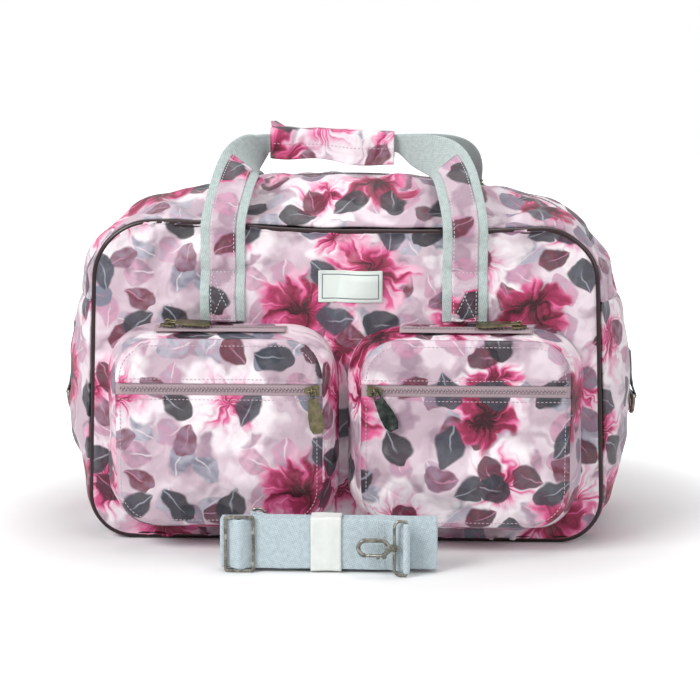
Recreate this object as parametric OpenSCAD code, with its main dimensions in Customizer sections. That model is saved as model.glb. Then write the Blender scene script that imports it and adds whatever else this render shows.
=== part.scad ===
// Printed travel holdall with two zipped front pockets, wrapped handles and a folded shoulder strap.
// Millimetres. The origin is the centre of the base on the floor, the front faces -Y and Z is up.

/* [Body] */
// Width of the bag along its base
base_w = 470; // [440:1:520]
// Width of the front and back panels along their top edge
top_w = 450; // [425:1:465]
// Height of the front and back panels
panel_h = 291; // [275:1:320]
// Depth from the front seam to the back seam
body_d = 210; // [190:1:240]
// Radius of the upper panel corners
top_r = 54; // [40:1:65]
// Radius of the lower panel corners
bottom_r = 40; // [30:1:50]
// Rise of the zipped top above the panels
top_crown = 37; // [25:1:45]
// Swell of each end of the bag
end_swell = 34; // [12:1:40]
// Swell of the front and back panels
panel_swell = 14; // [5:0.5:18]
// Thickness of the padded cloth
wall = 3; // [2:0.1:4]
// Radius of the piping
piping_r = 3; // [2:0.1:4]
// Height of the seam between the end panels and the top strips
seam_z = 218; // [195:1:230]
// Thickness of the stiff board in the base
board_t = 2.5; // [1.5:0.1:4]

/* [Front pockets] */
// Width of a pocket where it is sewn on
pocket_back_w = 208; // [190:1:212]
// Width of a pocket's face
pocket_face_w = 184; // [170:1:188]
// Gap between the two pockets where they are sewn on
pocket_gap = 8; // [5:0.5:12]
// Height of a pocket's top edge where it is sewn on
pocket_back_top = 200; // [192:1:206]
// Height of the top edge of a pocket's face
pocket_face_top = 190; // [184:1:198]
// Height of a pocket's bottom edge where it is sewn on
pocket_back_bottom = 17; // [10:1:24]
// Height of the bottom edge of a pocket's face
pocket_face_bottom = 24; // [14:1:30]
// Distance of a pocket's face in front of the front seam
pocket_depth = 50; // [40:1:60]
// Corner radius of a pocket where it is sewn on
pocket_back_r = 44; // [30:1:55]
// Corner radius of a pocket's face
pocket_face_r = 34; // [24:1:45]
// Height of the zip across a pocket's face
face_zip_z = 146; // [130:1:154]

/* [Zips] */
// Width of the visible zip band
zip_w = 10; // [8:0.5:12]
// Width of the main zip over the top
main_zip_w = 16; // [12:0.5:20]
// Thickness of the zip tape
tape_t = 1.2; // [0.8:0.1:1.6]
// Radius of each row of the zip coil
coil_r = 1.2; // [0.9:0.1:1.5]
// Slit between the two rows of the coil
zip_slit = 1.2; // [1:0.1:1.6]
// Length of a zip slider
slider_l = 13; // [11:0.5:15]
// Width of a zip slider
slider_w = 9; // [8:0.25:10]
// Thickness of a slider's plates
slider_t = 1.4; // [1:0.1:1.8]
// Length of a pull tab
tab_l = 31; // [24:1:36]
// Width of a pull tab
tab_w = 13; // [10:0.5:15]
// Thickness of a pull tab
tab_t = 2.4; // [1.6:0.1:2.8]
// Radius of the wire of a pull's bail
bail_r = 0.8; // [0.6:0.05:1]
// Lean of the left face pull from the vertical
left_pull_lean = 8; // [0:1:30]
// Lean of the right face pull from the vertical
right_pull_lean = 27; // [0:1:40]

/* [Handles] */
// Distance of each handle leg from the middle
leg_x = 107; // [95:1:115]
// Width of the handle webbing
handle_w = 40; // [34:1:42]
// Thickness of the handle webbing
handle_t = 2; // [1.5:0.1:2.5]
// Width of the printed strip on the webbing
trim_w = 23; // [18:0.5:26]
// Thickness of the printed strip
trim_t = 0.8; // [0.6:0.1:1.2]
// Height over which each leg is sewn down
sewn_h = 49; // [40:1:55]
// Height of the wrap's middle above the top of the bag
wrap_rise = 32; // [29:1:45]
// Length of the wrap round the handles
wrap_l = 116; // [90:1:125]
// Thickness of the wrap's padded cloth
wrap_t = 1.8; // [1.4:0.1:2.4]
// Loose edge of the wrap below the roll
wrap_flap = 9; // [5:0.5:11]
// Shift of the wrap to the left of the middle
wrap_shift = 16; // [0:1:18]

/* [Fittings] */
// Width of the woven label
label_w = 57; // [50:1:64]
// Height of the woven label
label_h = 28; // [22:1:30]
// Distance of the label's middle below the top of the panel
label_drop = 58; // [52:1:64]
// Thickness of the woven label
label_t = 1; // [0.8:0.1:1.4]
// Height of the bar of each end ring
ring_z = 120; // [105:1:135]
// Radius of each end ring to the middle of its wire
ring_r = 17; // [14:0.5:19]
// Radius of the end ring's wire
ring_wire_r = 2; // [1.5:0.1:2.2]
// Width of the webbing tab that holds an end ring
ring_tab_w = 28; // [22:1:29]
// Height of the webbing tab above the ring's bar
ring_tab_h = 43; // [32:1:50]

/* [Shoulder strap] */
// Width of the strap webbing
strap_w = 43; // [38:1:48]
// Thickness of the strap webbing
strap_t = 1.6; // [1.2:0.1:1.8]
// Length of the folded bundle between its end folds
bundle_length = 180; // [165:1:200]
// Distance between the layers of the bundle
layer_pitch = 2.7; // [2.6:0.1:3.2]
// Distance of the bundle's front layer in front of the pockets
bundle_gap = 60; // [45:1:80]
// Shift of the bundle to the left of the middle
bundle_shift = 8; // [0:1:20]
// Width of the slide buckle
buckle_w = 26; // [24:0.5:30]
// Thickness of the slide buckle
buckle_t = 2.5; // [2:0.1:3]
// Rim of the slide buckle above and below the webbing
buckle_rim = 2.6; // [2:0.1:3]
// Width of the band that keeps the bundle together
keeper_w = 26; // [20:1:30]
// Thickness of the keeper band
keeper_t = 1; // [0.8:0.1:1.2]
// Length of the snap hook from its swivel to its nose
hook_l = 32; // [30:0.5:36]
// Radius of the hook's curve to the middle of its bar
hook_r = 6.5; // [6.2:0.1:7]
// Radius of the hook's bar
hook_bar_r = 1.8; // [1.5:0.05:1.9]

/* [Hidden] */
$fn = 32;
gap = 0.3;
overrun = 1;
half_d = body_d / 2;
half_base = base_w / 2;
half_top = top_w / 2;
mid_z = panel_h / 2;
side_a = atan((half_base - half_top) / panel_h);
low_x = half_base - bottom_r * (1 + sin(side_a)) / cos(side_a);
high_x = half_base - (top_r + (panel_h - top_r) * sin(side_a)) / cos(side_a);
crown_r = (half_top * half_top + top_crown * top_crown) / (2 * top_crown);
crown_z = panel_h + top_crown - crown_r;
piping_inset = piping_r;
panel_inset = 2 * piping_r + gap;
gusset_half_d = half_d - 2 * piping_r - gap;
zip_half = zip_w / 2;
arc_steps = 7;
top_steps = 12;
panel_steps = 8;
gusset_steps = 4;
end_steps = 6;
piping_sides = 8;

pocket_x = (pocket_back_w + pocket_gap) / 2;
face_y = -half_d - pocket_depth;
pocket_steps = 4;
face_tape_y = face_y + wall / 2;
tape_stop = 3;
face_left_x = -pocket_x + pocket_face_w / 2 - slider_l / 2 - tape_stop;
face_right_x = pocket_x - pocket_face_w / 2 + slider_l;
top_zip_share = 0.5;
top_zip_half_l = pocket_face_w / 2 - pocket_face_r;
top_slider_share = 0.8;
top_tilt = atan((pocket_back_top - pocket_face_top) / (pocket_depth + panel_swell / 2));

coil_top = tape_t / 2 + coil_r;
plate_z = coil_top + gap;
plate_top = plate_z + slider_t;
lug_wire = 0.8;
lug_r = bail_r + gap + lug_wire;
lug_sunk_share = 0.4;
lug_z = plate_top + lug_r + lug_wire * lug_sunk_share;
bail_w = 7;
bail_l = 7;
tab_neck_share = 0.62;
tab_bevel = 0.5;
tab_droop = 3;
main_left_x = 100;
main_right_x = 119;

wrap_z = panel_h + top_crown + wrap_rise;
sewn_top = pocket_back_top + sewn_h;
fold_share = 0.38;
folded_half = handle_t / (2 * fold_share);
stack_y = folded_half + 5 * gap;
leg_off = handle_t + gap;
leg_lift = 2;
handle_steps = 4;
wrap_turns_share = 1.3;
wrap_round_share = 0.5;
wrap_steps = 40;
wrap_ease = 1.7;
wrap_a = stack_y + folded_half + wrap_ease + wrap_t / 2;
wrap_b = handle_w * fold_share / 2 + wrap_ease + wrap_t / 2;
wrap_pitch = wrap_t + 2 * gap;

// Handle route from the sewn leg to the wrap, as shares: across, back, up, turn and width.
handle_shares = [
    [0.00, 0.00, 0.00, 0.00, 1.00],
    [0.00, 0.00, 0.38, 0.00, 1.00],
    [0.01, 0.20, 0.69, 0.04, 1.00],
    [0.06, 0.48, 0.92, 0.22, 1.00],
    [0.26, 0.75, 1.03, 0.60, 0.84],
    [0.56, 0.92, 1.02, 0.94, 0.55],
    [0.86, 1.00, 1.00, 1.00, fold_share],
    [1.20, 1.00, 1.00, 1.00, fold_share],
    [1.60, 1.00, 1.00, 1.00, fold_share]
];

ring_bar_r = ring_wire_r + 0.1 * ring_wire_r;
ring_web_t = 1.4;
ring_loop_r = ring_bar_r + gap + ring_web_t;

strap_z = buckle_rim + gap;
strap_mid_z = strap_z + strap_w / 2;
fitting_h = strap_w + 2 * strap_z;
strap_y = face_y - bundle_gap;
runs = 7;
bundle_mid_y = strap_y + (runs - 1) / 2 * layer_pitch;
left_x = -bundle_shift - bundle_length / 2;
right_x = -bundle_shift + bundle_length / 2;
eye_r = 1.25;
eye_d = 10;
eye_corner_r = 5;
hook_off = 12;
hook_bar_x = right_x - 24;
hook_bar_y = strap_y - hook_off;
loop_r = eye_r + gap + strap_t / 2;
curve_l = 17;
buckle_x = left_x + buckle_w / 2 + strap_t;
buckle_bar = 2.5;
buckle_y = strap_y - strap_t / 2 - gap - buckle_t / 2;
buckle_bump = strap_t + buckle_t + 4 * gap;
buckle_bump_l = buckle_w / 2 - buckle_bar;
keeper_x = -10;
boss_r = 3.2;
boss_l = 4;
pin_r = 1.2;
head_r = 2.4;
head_t = 1.2;
barrel_l = 4;
hook_root_x = boss_l / 2 + gap + barrel_l + hook_r - eye_r;
hook_nose_x = hook_l - hook_r - hook_bar_r;
ear_r = 2.2;
ear_t = 1;
knuckle_w = 3;
gate_r = 1.4;
gate_pin_r = 0.9;
gate_x = hook_root_x - hook_r / 2 + gap;
ear_a = 200;

cloth = "#bfa5b4";
webbing = "#afbcba";
strap_cloth = "#b0bec2";
brass = "#7c7a63";
nickel = "#8d8f8c";
tape_cloth = "#b5a3a8";
piping_cloth = "#4e2230";
white_cloth = "#e9ece8";

// Plain vector helpers
function unit(v) = v / norm(v);
function flat(rows) = [for (row = rows) for (p = row) p];
function reversed(list) = [for (i = [len(list) - 1:-1:0]) list[i]];
function smooth(t) = t * t * (3 - 2 * t);
function signed_power(v, e) = sign(v) * pow(abs(v), e);
function spline(a, b, c, d, t) = 0.5 * (2 * b + (c - a) * t + (2 * a - 5 * b + 4 * c - d) * t * t
    + (3 * b - a - 3 * c + d) * t * t * t);

// Arc of stations, each holding a place across, a height and the direction that faces out
function arc(x, z, r, a0, a1, n) =
    [for (i = [0:n]) let (a = a0 + (a1 - a0) * i / n) [x + r * cos(a), z + r * sin(a), a]];

function side_x(z) = half_base - z * tan(side_a);
function mirrored(stations) = [for (s = reversed(stations)) [-s[0], s[1], 180 - s[2]]];

// Right half of the panel outline from the middle of the base to the middle of the top
function low_arc(inset) = arc(low_x, bottom_r, bottom_r - inset, -90, side_a, arc_steps);
function high_arc(inset) = arc(high_x, panel_h - top_r, top_r - inset, side_a, 90, arc_steps);
function half_outline(inset) = concat(low_arc(inset),
    [let (s = half_base - inset / cos(side_a) - mid_z * tan(side_a)) [s, mid_z, side_a]], high_arc(inset));

// The front panel swells most at its middle and is flat along its seams
function swell_share(x, z) = (1 - pow(x / half_base, 2)) * (1 - pow((z - mid_z) / mid_z, 2));
function panel_y(x, z) = -half_d - panel_swell * swell_share(x, z);

// Swell of the ends and crown of the top, both fading towards the front and back seams
function crown_at(x) = sqrt(crown_r * crown_r - x * x) - crown_r + top_crown;
function gusset_swell(s) = max(0, sin(s[2])) * crown_at(s[0])
    + abs(cos(s[2])) * end_swell * sin(180 * s[1] / panel_h);
function depth_share(y) = 1 - pow(y / half_d, 2);
function gusset_point(s, y, inset) = let (out = gusset_swell(s) * depth_share(y) - inset)
    [s[0] + out * cos(s[2]), y, s[1] + out * sin(s[2])];
function gusset_rows(stations, y0, y1, n, inset) =
    [for (s = stations) [for (j = [0:n]) gusset_point(s, y0 + (y1 - y0) * j / n, inset)]];

end_stations = concat(low_arc(0),
    [for (i = [1:end_steps]) let (z = bottom_r + (seam_z - gap - bottom_r) * i / end_steps)
        [side_x(z), z, side_a]]);
top_line = [for (i = [1:top_steps - 1]) [high_x * (1 - 2 * i / top_steps), panel_h, 90]];
seam_station = [side_x(seam_z), seam_z, side_a];
top_stations = concat([seam_station], high_arc(0), top_line, mirrored(concat([seam_station], high_arc(0))));

// Rounded pocket outline as places and heights, anticlockwise from the lower right corner
function pocket_side(p, q) = [for (i = [1:pocket_steps - 1]) p + (q - p) * i / pocket_steps];
function pocket_loop(w, low, high, r, inset) = let (x = w / 2 - r, e = r - inset,
    a = arc(x, low + r, e, -90, 0, arc_steps), b = arc(x, high - r, e, 0, 90, arc_steps),
    c = arc(-x, high - r, e, 90, 180, arc_steps), d = arc(-x, low + r, e, 180, 270, arc_steps))
    concat(a, pocket_side(a[arc_steps], b[0]), b, pocket_side(b[arc_steps], c[0]),
        c, pocket_side(c[arc_steps], d[0]), d, pocket_side(d[arc_steps], a[0]));
function on_panel(x, z, off) = [x, panel_y(x, z) - off, z];
function pocket_rows(cx, inset) = let (
    face = pocket_loop(pocket_face_w, pocket_face_bottom, pocket_face_top, pocket_face_r, inset),
    back = pocket_loop(pocket_back_w, pocket_back_bottom, pocket_back_top, pocket_back_r, inset))
    [for (i = [0:len(face) - 1]) let (b = on_panel(cx + back[i][0], back[i][1], gap),
        f = [cx + face[i][0], face_y + wall + gap, face[i][1]]) [f, (f + b) / 2, b]];

// Point on the sloping top of a pocket, from its face at 0 to the panel at 1, lifted off the cloth
function pocket_top_point(x, v, lift) = let (f = [x, face_y + wall + gap, pocket_face_top],
    b = on_panel(x, pocket_back_top, gap)) f + (b - f) * v + [0, 0, lift];

// Closed sheet between an outer and an inner grid of points
module sheet(outer, inner, loop = false) {
    n = len(outer);
    m = len(outer[0]);
    rows = loop ? n : n - 1;
    function o(i, j) = (i % n) * m + j;
    function u(i, j) = n * m + (i % n) * m + j;
    skin = [for (i = [0:rows - 1]) for (j = [0:m - 2]) each [
        [o(i, j), o(i + 1, j), o(i + 1, j + 1)], [o(i, j), o(i + 1, j + 1), o(i, j + 1)],
        [u(i, j), u(i + 1, j + 1), u(i + 1, j)], [u(i, j), u(i, j + 1), u(i + 1, j + 1)]]];
    sides = [for (i = [0:rows - 1]) each [
        [o(i + 1, 0), o(i, 0), u(i, 0)], [o(i + 1, 0), u(i, 0), u(i + 1, 0)],
        [o(i, m - 1), o(i + 1, m - 1), u(i + 1, m - 1)], [o(i, m - 1), u(i + 1, m - 1), u(i, m - 1)]]];
    ends = loop ? [] : [for (j = [0:m - 2]) each [
        [o(0, j), o(0, j + 1), u(0, j + 1)], [o(0, j), u(0, j + 1), u(0, j)],
        [o(n - 1, j + 1), o(n - 1, j), u(n - 1, j)], [o(n - 1, j + 1), u(n - 1, j), u(n - 1, j + 1)]]];
    polyhedron(concat(flat(outer), flat(inner)), concat(skin, sides, ends));
}

// Solid through a row of rings, closed into a loop or capped at both ends, split along either diagonal
module loft(rings, loop = false, cross = false) {
    n = len(rings);
    m = len(rings[0]);
    rows = loop ? n : n - 1;
    function o(i, j) = (i % n) * m + j % m;
    skin = [for (i = [0:rows - 1]) for (j = [0:m - 1]) each cross
        ? [[o(i, j), o(i + 1, j), o(i, j + 1)], [o(i + 1, j), o(i + 1, j + 1), o(i, j + 1)]]
        : [[o(i, j), o(i + 1, j), o(i + 1, j + 1)], [o(i, j), o(i + 1, j + 1), o(i, j + 1)]]];
    caps = loop ? [] : [for (j = [0:m / 2 - 2]) each [
        [o(0, j), o(0, j + 1), o(0, m - 2 - j), o(0, m - 1 - j)],
        [o(n - 1, m - 1 - j), o(n - 1, m - 2 - j), o(n - 1, j + 1), o(n - 1, j)]]];
    polyhedron(flat(rings), concat(skin, caps));
}

// Flat band of even thickness along a line of points
function band_side(path, off) = [for (i = [0:len(path) - 1])
    let (d = unit(path[min(i + 1, len(path) - 1)] - path[max(i - 1, 0)])) path[i] + off * [-d[1], d[0]]];
module band(path, t) {
    polygon(concat(band_side(path, t / 2), reversed(band_side(path, -t / 2))));
}

module rounded_plate(w, h, r) {
    square([w - 2 * r, h], center = true);
    square([w, h - 2 * r], center = true);
    for (x = [-1, 1])
        for (y = [-1, 1])
            translate([x * (w / 2 - r), y * (h / 2 - r)]) circle(r);
}

// Body panels
module panel() {
    outline = half_outline(panel_inset);
    function rows(off) = [for (s = outline) [for (j = [0:panel_steps])
        let (x = s[0] * (2 * j / panel_steps - 1)) [x, panel_y(x, s[1]) + off, s[1]]]];
    color(cloth) sheet(rows(0), rows(wall));
}
module front_panel() {
    panel();
}
module back_panel() {
    mirror([0, 1, 0]) panel();
}
module base_panel() {
    color(cloth) translate([0, 0, wall / 2])
        cube([2 * (low_x - gap), 2 * gusset_half_d, wall], center = true);
}
module base_board() {
    color("#5a5450") translate([0, 0, wall]) linear_extrude(board_t)
        rounded_plate(2 * low_x - 2 * bottom_r / 2, 2 * gusset_half_d - 2 * wall, bottom_r / 2);
}
module end_panel() {
    color(cloth) sheet(gusset_rows(end_stations, -gusset_half_d, gusset_half_d, 2 * gusset_steps, 0),
        gusset_rows(end_stations, -gusset_half_d, gusset_half_d, 2 * gusset_steps, wall));
}
module right_end_panel() {
    end_panel();
}
module left_end_panel() {
    mirror([1, 0, 0]) end_panel();
}
module top_strip() {
    edge = -main_zip_w / 2 - gap;
    color(cloth) sheet(gusset_rows(top_stations, -gusset_half_d, edge, gusset_steps, 0),
        gusset_rows(top_stations, -gusset_half_d, edge, gusset_steps, wall));
}
module top_strip_front() {
    top_strip();
}
module top_strip_back() {
    mirror([0, 1, 0]) top_strip();
}
module piping() {
    right = half_outline(piping_inset);
    rings = [for (s = concat(right, mirrored(right))) [for (k = [0:piping_sides - 1])
        let (b = 360 * k / piping_sides, out = piping_r * cos(b))
        [s[0] + out * cos(s[2]), piping_r - half_d + piping_r * sin(b), s[1] + out * sin(s[2])]]];
    color(piping_cloth) loft(rings, loop = true);
}
module front_piping() {
    piping();
}
module back_piping() {
    mirror([0, 1, 0]) piping();
}

// Zips: two tapes with a coil along each inner edge and a slit between them
module zip_half_profile(half_w) {
    translate([zip_slit / 2, -tape_t / 2]) square([half_w - zip_slit / 2, tape_t]);
    translate([zip_slit / 2 + coil_r, tape_t / 2]) circle(coil_r);
}
module straight_zip(l, w) {
    color(tape_cloth) rotate([90, 0, 90]) translate([0, 0, -l / 2]) linear_extrude(l) {
        zip_half_profile(w / 2);
        mirror([1, 0]) zip_half_profile(w / 2);
    }
}
module main_zip() {
    half = main_zip_w / 2;
    side = [zip_slit / 2, zip_slit / 2 + 2 * coil_r, half];
    lift = [coil_r, coil_r, 0];
    function rows(off, up) = [for (s = top_stations) [for (j = [0:len(side) - 1])
        gusset_point(s, side[j], off - up * lift[j])]];
    color(tape_cloth)
        for (m = [0, 1])
            mirror([0, m, 0]) sheet(rows(0, 1), rows(tape_t, 0));
}

// Slider and pull in their own frame: the zip runs along X and Z faces away from the cloth
module slider(turn) {
    nose = slider_w / 2;
    shoulder_share = 0.2;
    color(brass) {
        for (z = [plate_z, -tape_t / 2 - gap - slider_t])
            translate([0, 0, z]) linear_extrude(slider_t)
                polygon([[-slider_l / 2, -nose / 2], [-slider_l / 2, nose / 2],
                    [slider_l * shoulder_share, nose], [slider_l / 2, nose],
                    [slider_l / 2, -nose], [slider_l * shoulder_share, -nose]]);
        translate([0, 0, (plate_z - tape_t / 2 - gap) / 2])
            cube([slider_l / 3, zip_slit / 2, plate_z + tape_t / 2 + gap + slider_t], center = true);
        translate([0, 0, lug_z]) rotate([90, 0, turn]) rotate_extrude()
            translate([lug_r, 0]) circle(lug_wire);
    }
}
module pull(turn, droop) {
    neck = tab_w * tab_neck_share;
    rim = tab_l / 6;
    color(brass) translate([0, 0, lug_z]) rotate([0, 0, turn]) rotate([0, droop, 0]) {
        rotate([90, 0, 0]) cylinder(r = bail_r, h = bail_w, center = true);
        for (y = [-1, 1])
            translate([0, y * (bail_w / 2 - bail_r), 0]) rotate([0, 90, 0])
                cylinder(r = bail_r, h = bail_l + bail_r);
        translate([bail_l, 0, -tab_t / 2 + tab_bevel]) linear_extrude(tab_t - 2 * tab_bevel)
            pull_outline(neck, tab_w, tab_l, rim, 0);
        translate([bail_l, 0, -tab_t / 2]) linear_extrude(tab_t)
            pull_outline(neck, tab_w, tab_l, rim, tab_bevel);
    }
}
module pull_outline(neck, w, l, rim, inset) {
    a = w / 2 - inset;
    polygon([[inset, -neck / 2 + inset], [inset, neck / 2 - inset], [l / 2, a], [l - rim, a],
        [l - inset, a - rim / 2], [l - inset, -a + rim / 2], [l - rim, -a], [l / 2, -a]]);
}

// Sliders of the main zip ride on the arc of the crown, with their pulls lying to the back
module on_crown(x, turn) {
    translate([0, 0, crown_z]) rotate([0, asin(x / crown_r), 0])
        translate([0, 0, crown_r - tape_t / 2]) rotate([0, 0, turn]) children();
}
module main_slider_left() {
    on_crown(main_left_x, 180) slider(-90);
}
module main_pull_left() {
    on_crown(main_left_x, 180) pull(-90, tab_droop);
}
module main_slider_right() {
    on_crown(main_right_x, 0) slider(90);
}
module main_pull_right() {
    on_crown(main_right_x, 0) pull(90, tab_droop);
}

// Pockets: side 1 is the right one and side -1 the left one
module pocket_gusset(side) {
    color(cloth) difference() {
        sheet(pocket_rows(side * pocket_x, 0), pocket_rows(side * pocket_x, wall), loop = true);
        at_top_zip(side, side * pocket_x)
            cube([2 * top_zip_half_l - 2 * tape_stop, slider_w + 4 * gap, 4 * wall], center = true);
    }
}
module pocket_face(side) {
    h = pocket_face_top - pocket_face_bottom;
    color(cloth) translate([side * pocket_x, face_y + wall, pocket_face_bottom + h / 2])
        rotate([90, 0, 0]) linear_extrude(wall) rounded_plate(pocket_face_w, h, pocket_face_r);
}
module face_cut(side, low, high) {
    translate([side * pocket_x, face_y + wall / 2, (low + high) / 2])
        cube([pocket_face_w + overrun, wall + overrun, high - low], center = true);
}
module pocket_upper_face(side) {
    difference() {
        pocket_face(side);
        face_cut(side, pocket_face_bottom - overrun, face_zip_z + zip_half + gap);
    }
}
module pocket_lower_face(side) {
    difference() {
        pocket_face(side);
        face_cut(side, face_zip_z - zip_half - gap, pocket_face_top + overrun);
    }
}
module at_face_zip(x) {
    translate([x, face_tape_y, face_zip_z]) rotate([90, 0, 0]) children();
}
module pocket_face_zip(side) {
    at_face_zip(side * pocket_x) straight_zip(pocket_face_w, zip_w);
}
module at_top_zip(side, x) {
    p = pocket_top_point(side * pocket_x, top_zip_share, gap + tape_t / 2 + panel_swell / 8);
    translate([x, p[1], p[2]]) rotate([top_tilt, 0, 0]) children();
}
module pocket_top_zip(side) {
    at_top_zip(side, side * pocket_x) straight_zip(2 * top_zip_half_l, main_zip_w);
}
module at_top_slider(side) {
    at_top_zip(side, side * (pocket_x + top_zip_half_l * top_slider_share))
        rotate([0, 0, 90 * (side + 1)]) children();
}
module top_zip_slider(side) {
    at_top_slider(side) slider(0);
}
module top_zip_pull(side) {
    at_top_slider(side) pull(0, tab_droop);
}
module left_pocket_gusset() {
    pocket_gusset(-1);
}
module right_pocket_gusset() {
    pocket_gusset(1);
}
module left_pocket_upper_face() {
    pocket_upper_face(-1);
}
module right_pocket_upper_face() {
    pocket_upper_face(1);
}
module left_pocket_lower_face() {
    pocket_lower_face(-1);
}
module right_pocket_lower_face() {
    pocket_lower_face(1);
}
module left_face_zip() {
    pocket_face_zip(-1);
}
module right_face_zip() {
    pocket_face_zip(1);
}
module left_top_zip() {
    pocket_top_zip(-1);
}
module right_top_zip() {
    pocket_top_zip(1);
}
module left_face_slider() {
    at_face_zip(face_left_x) slider(left_pull_lean - 90);
}
module left_face_pull() {
    at_face_zip(face_left_x) pull(left_pull_lean - 90, 0);
}
module right_face_slider() {
    at_face_zip(face_right_x) rotate([0, 0, 180]) slider(90 + right_pull_lean);
}
module right_face_pull() {
    at_face_zip(face_right_x) pull(right_pull_lean - 90, 0);
}
module left_top_slider() {
    top_zip_slider(-1);
}
module left_top_pull() {
    top_zip_pull(-1);
}
module right_top_slider() {
    top_zip_slider(1);
}
module right_top_pull() {
    top_zip_pull(1);
}

// Handles: webbing that stands flat on the panel, then turns on edge and folds in half inside the wrap
function leg_y(z) = panel_y(leg_x, z) - leg_off;
function handle_row(s) = let (reach = leg_x - wrap_l / 2, y0 = leg_y(sewn_top))
    [-leg_x + s[0] * reach, y0 + s[1] * (-stack_y - y0), sewn_top + s[2] * (wrap_z - sewn_top),
        90 * s[3], s[4]];
leg_low = pocket_back_top + leg_lift;
left_leg = concat([for (z = [leg_low, (leg_low + sewn_top) / 2]) [-leg_x, leg_y(z), z, 0, 1]],
    [for (s = handle_shares) handle_row(s)]);
right_leg = [for (s = reversed(left_leg)) [-s[0], s[1], s[2], 180 - s[3], s[4]]];
function pulled_share(x) = smooth(max(0, min(1, (leg_x - abs(x)) / (leg_x - wrap_l / 2))));
handle_controls = [for (s = concat(left_leg, right_leg))
    [s[0] - wrap_shift * pulled_share(s[0]), s[1], s[2], s[3], s[4]]];
function controls_at(i) = handle_controls[max(0, min(len(handle_controls) - 1, i))];
handle_line = [for (i = [0:len(handle_controls) - 2]) for (k = [0:handle_steps - 1])
    spline(controls_at(i - 1), controls_at(i), controls_at(i + 1), controls_at(i + 2), k / handle_steps)];
function place(s) = [s[0], s[1], s[2]];
function handle_ring(line, i, across, inner, outer) = let (s = line[i],
    d = unit(place(line[min(i + 1, len(line) - 1)]) - place(line[max(i - 1, 0)])),
    a = [cos(s[3]), 0, -sin(s[3])], w = s[4] * unit(a - (a * d) * d), n = cross(d, unit(w)) / s[4])
    concat([for (x = across) place(s) + x * w + inner * n],
        [for (x = reversed(across)) place(s) + x * w - outer * n]);
module handle() {
    across = [handle_w / 2, trim_w / 2, -trim_w / 2, -handle_w / 2];
    color(webbing) loft([for (i = [0:len(handle_line) - 1])
        handle_ring(handle_line, i, across, handle_t / 2, handle_t / 2)]);
}
module handle_trim() {
    n = len(handle_line) - 1;
    last = handle_steps * (len(left_leg) - 4) - 1;
    low = handle_t / 2 + gap;
    color(cloth)
        for (span = [[0, last], [n - last, n]])
            loft([for (i = [span[0]:span[1]])
                handle_ring(handle_line, i, [trim_w / 2, -trim_w / 2], -low, low + trim_t)], cross = true);
}
module front_handle() {
    handle();
}
module front_handle_trim() {
    handle_trim();
}
module back_handle() {
    mirror([0, 1, 0]) handle();
}
module back_handle_trim() {
    mirror([0, 1, 0]) handle_trim();
}

// Wrap: padded cloth rolled round both handles, with its loose edge hanging in front
function wrap_point(t) = let (a = 90 - 360 * t)
    [-(wrap_a + wrap_pitch * t) * signed_power(cos(a), wrap_round_share),
        (wrap_b + wrap_pitch * t) * signed_power(sin(a), wrap_round_share)];
module handle_wrap() {
    roll = [for (i = [0:wrap_steps]) wrap_point(wrap_turns_share * i / wrap_steps)];
    tail = roll[wrap_steps];
    path = concat(roll, [for (i = [1:3]) tail + [wrap_t * i / 12, -(wrap_b - wrap_a + wrap_flap) * i / 3]]);
    color(cloth) translate([-wrap_shift - wrap_l / 2, 0, wrap_z]) rotate([90, 0, 90]) linear_extrude(wrap_l)
        band(path, wrap_t);
}

// Woven label, lying on the slope of the panel
module label_patch() {
    z = max(panel_h - label_drop, pocket_back_top + label_h / 2 + panel_swell / 2);
    x = 6;
    p = on_panel(x, z, gap);
    lean = atan((panel_y(x, z + label_h / 2) - panel_y(x, z - label_h / 2)) / label_h);
    color(white_cloth) translate(p) rotate([90 - lean, 0, 0]) linear_extrude(label_t)
        rounded_plate(label_w, label_h, label_t);
}

// End rings: a D of wire hanging in a folded tab of webbing
function end_x(z) = side_x(z) + end_swell * sin(180 * z / panel_h);
ring_tab_top = ring_z + ring_tab_h;
ring_x = end_x(ring_z) + 3 * gap + ring_loop_r;
ring_lean = atan((end_x(ring_tab_top) - end_x(ring_z)) / ring_tab_h);
// Side view of a tab: round the ring's bar, then straight up in two layers
ring_join_a = acos((2 * ring_web_t - ring_loop_r) / ring_loop_r);
ring_tab_side = concat([[-ring_loop_r, ring_tab_h], [2 * ring_web_t - ring_loop_r, ring_tab_h]],
    circle_line(0, 0, ring_loop_r, ring_join_a, -180, 24));
module ring_tab() {
    color(webbing) translate([ring_x, 0, ring_z]) rotate([90, 0, 0]) difference() {
        rotate([0, 0, -ring_lean]) linear_extrude(ring_tab_w, center = true)
            polygon(ring_tab_side);
        cylinder(r = ring_bar_r + gap, h = ring_tab_w + overrun, center = true);
    }
}
module d_ring() {
    color(nickel) translate([ring_x, 0, ring_z]) {
        rotate([90, 0, 0]) cylinder(r = ring_bar_r, h = 2 * ring_r, center = true);
        rotate([0, 90, 0]) rotate([0, 0, -90]) rotate_extrude(angle = 180)
            translate([ring_r, 0]) circle(ring_wire_r);
        for (y = [-ring_r, ring_r])
            translate([0, y, 0]) sphere(ring_bar_r);
    }
}
module right_ring_tab() {
    ring_tab();
}
module right_d_ring() {
    d_ring();
}
module left_ring_tab() {
    mirror([1, 0, 0]) ring_tab();
}
module left_d_ring() {
    mirror([1, 0, 0]) d_ring();
}

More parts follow.
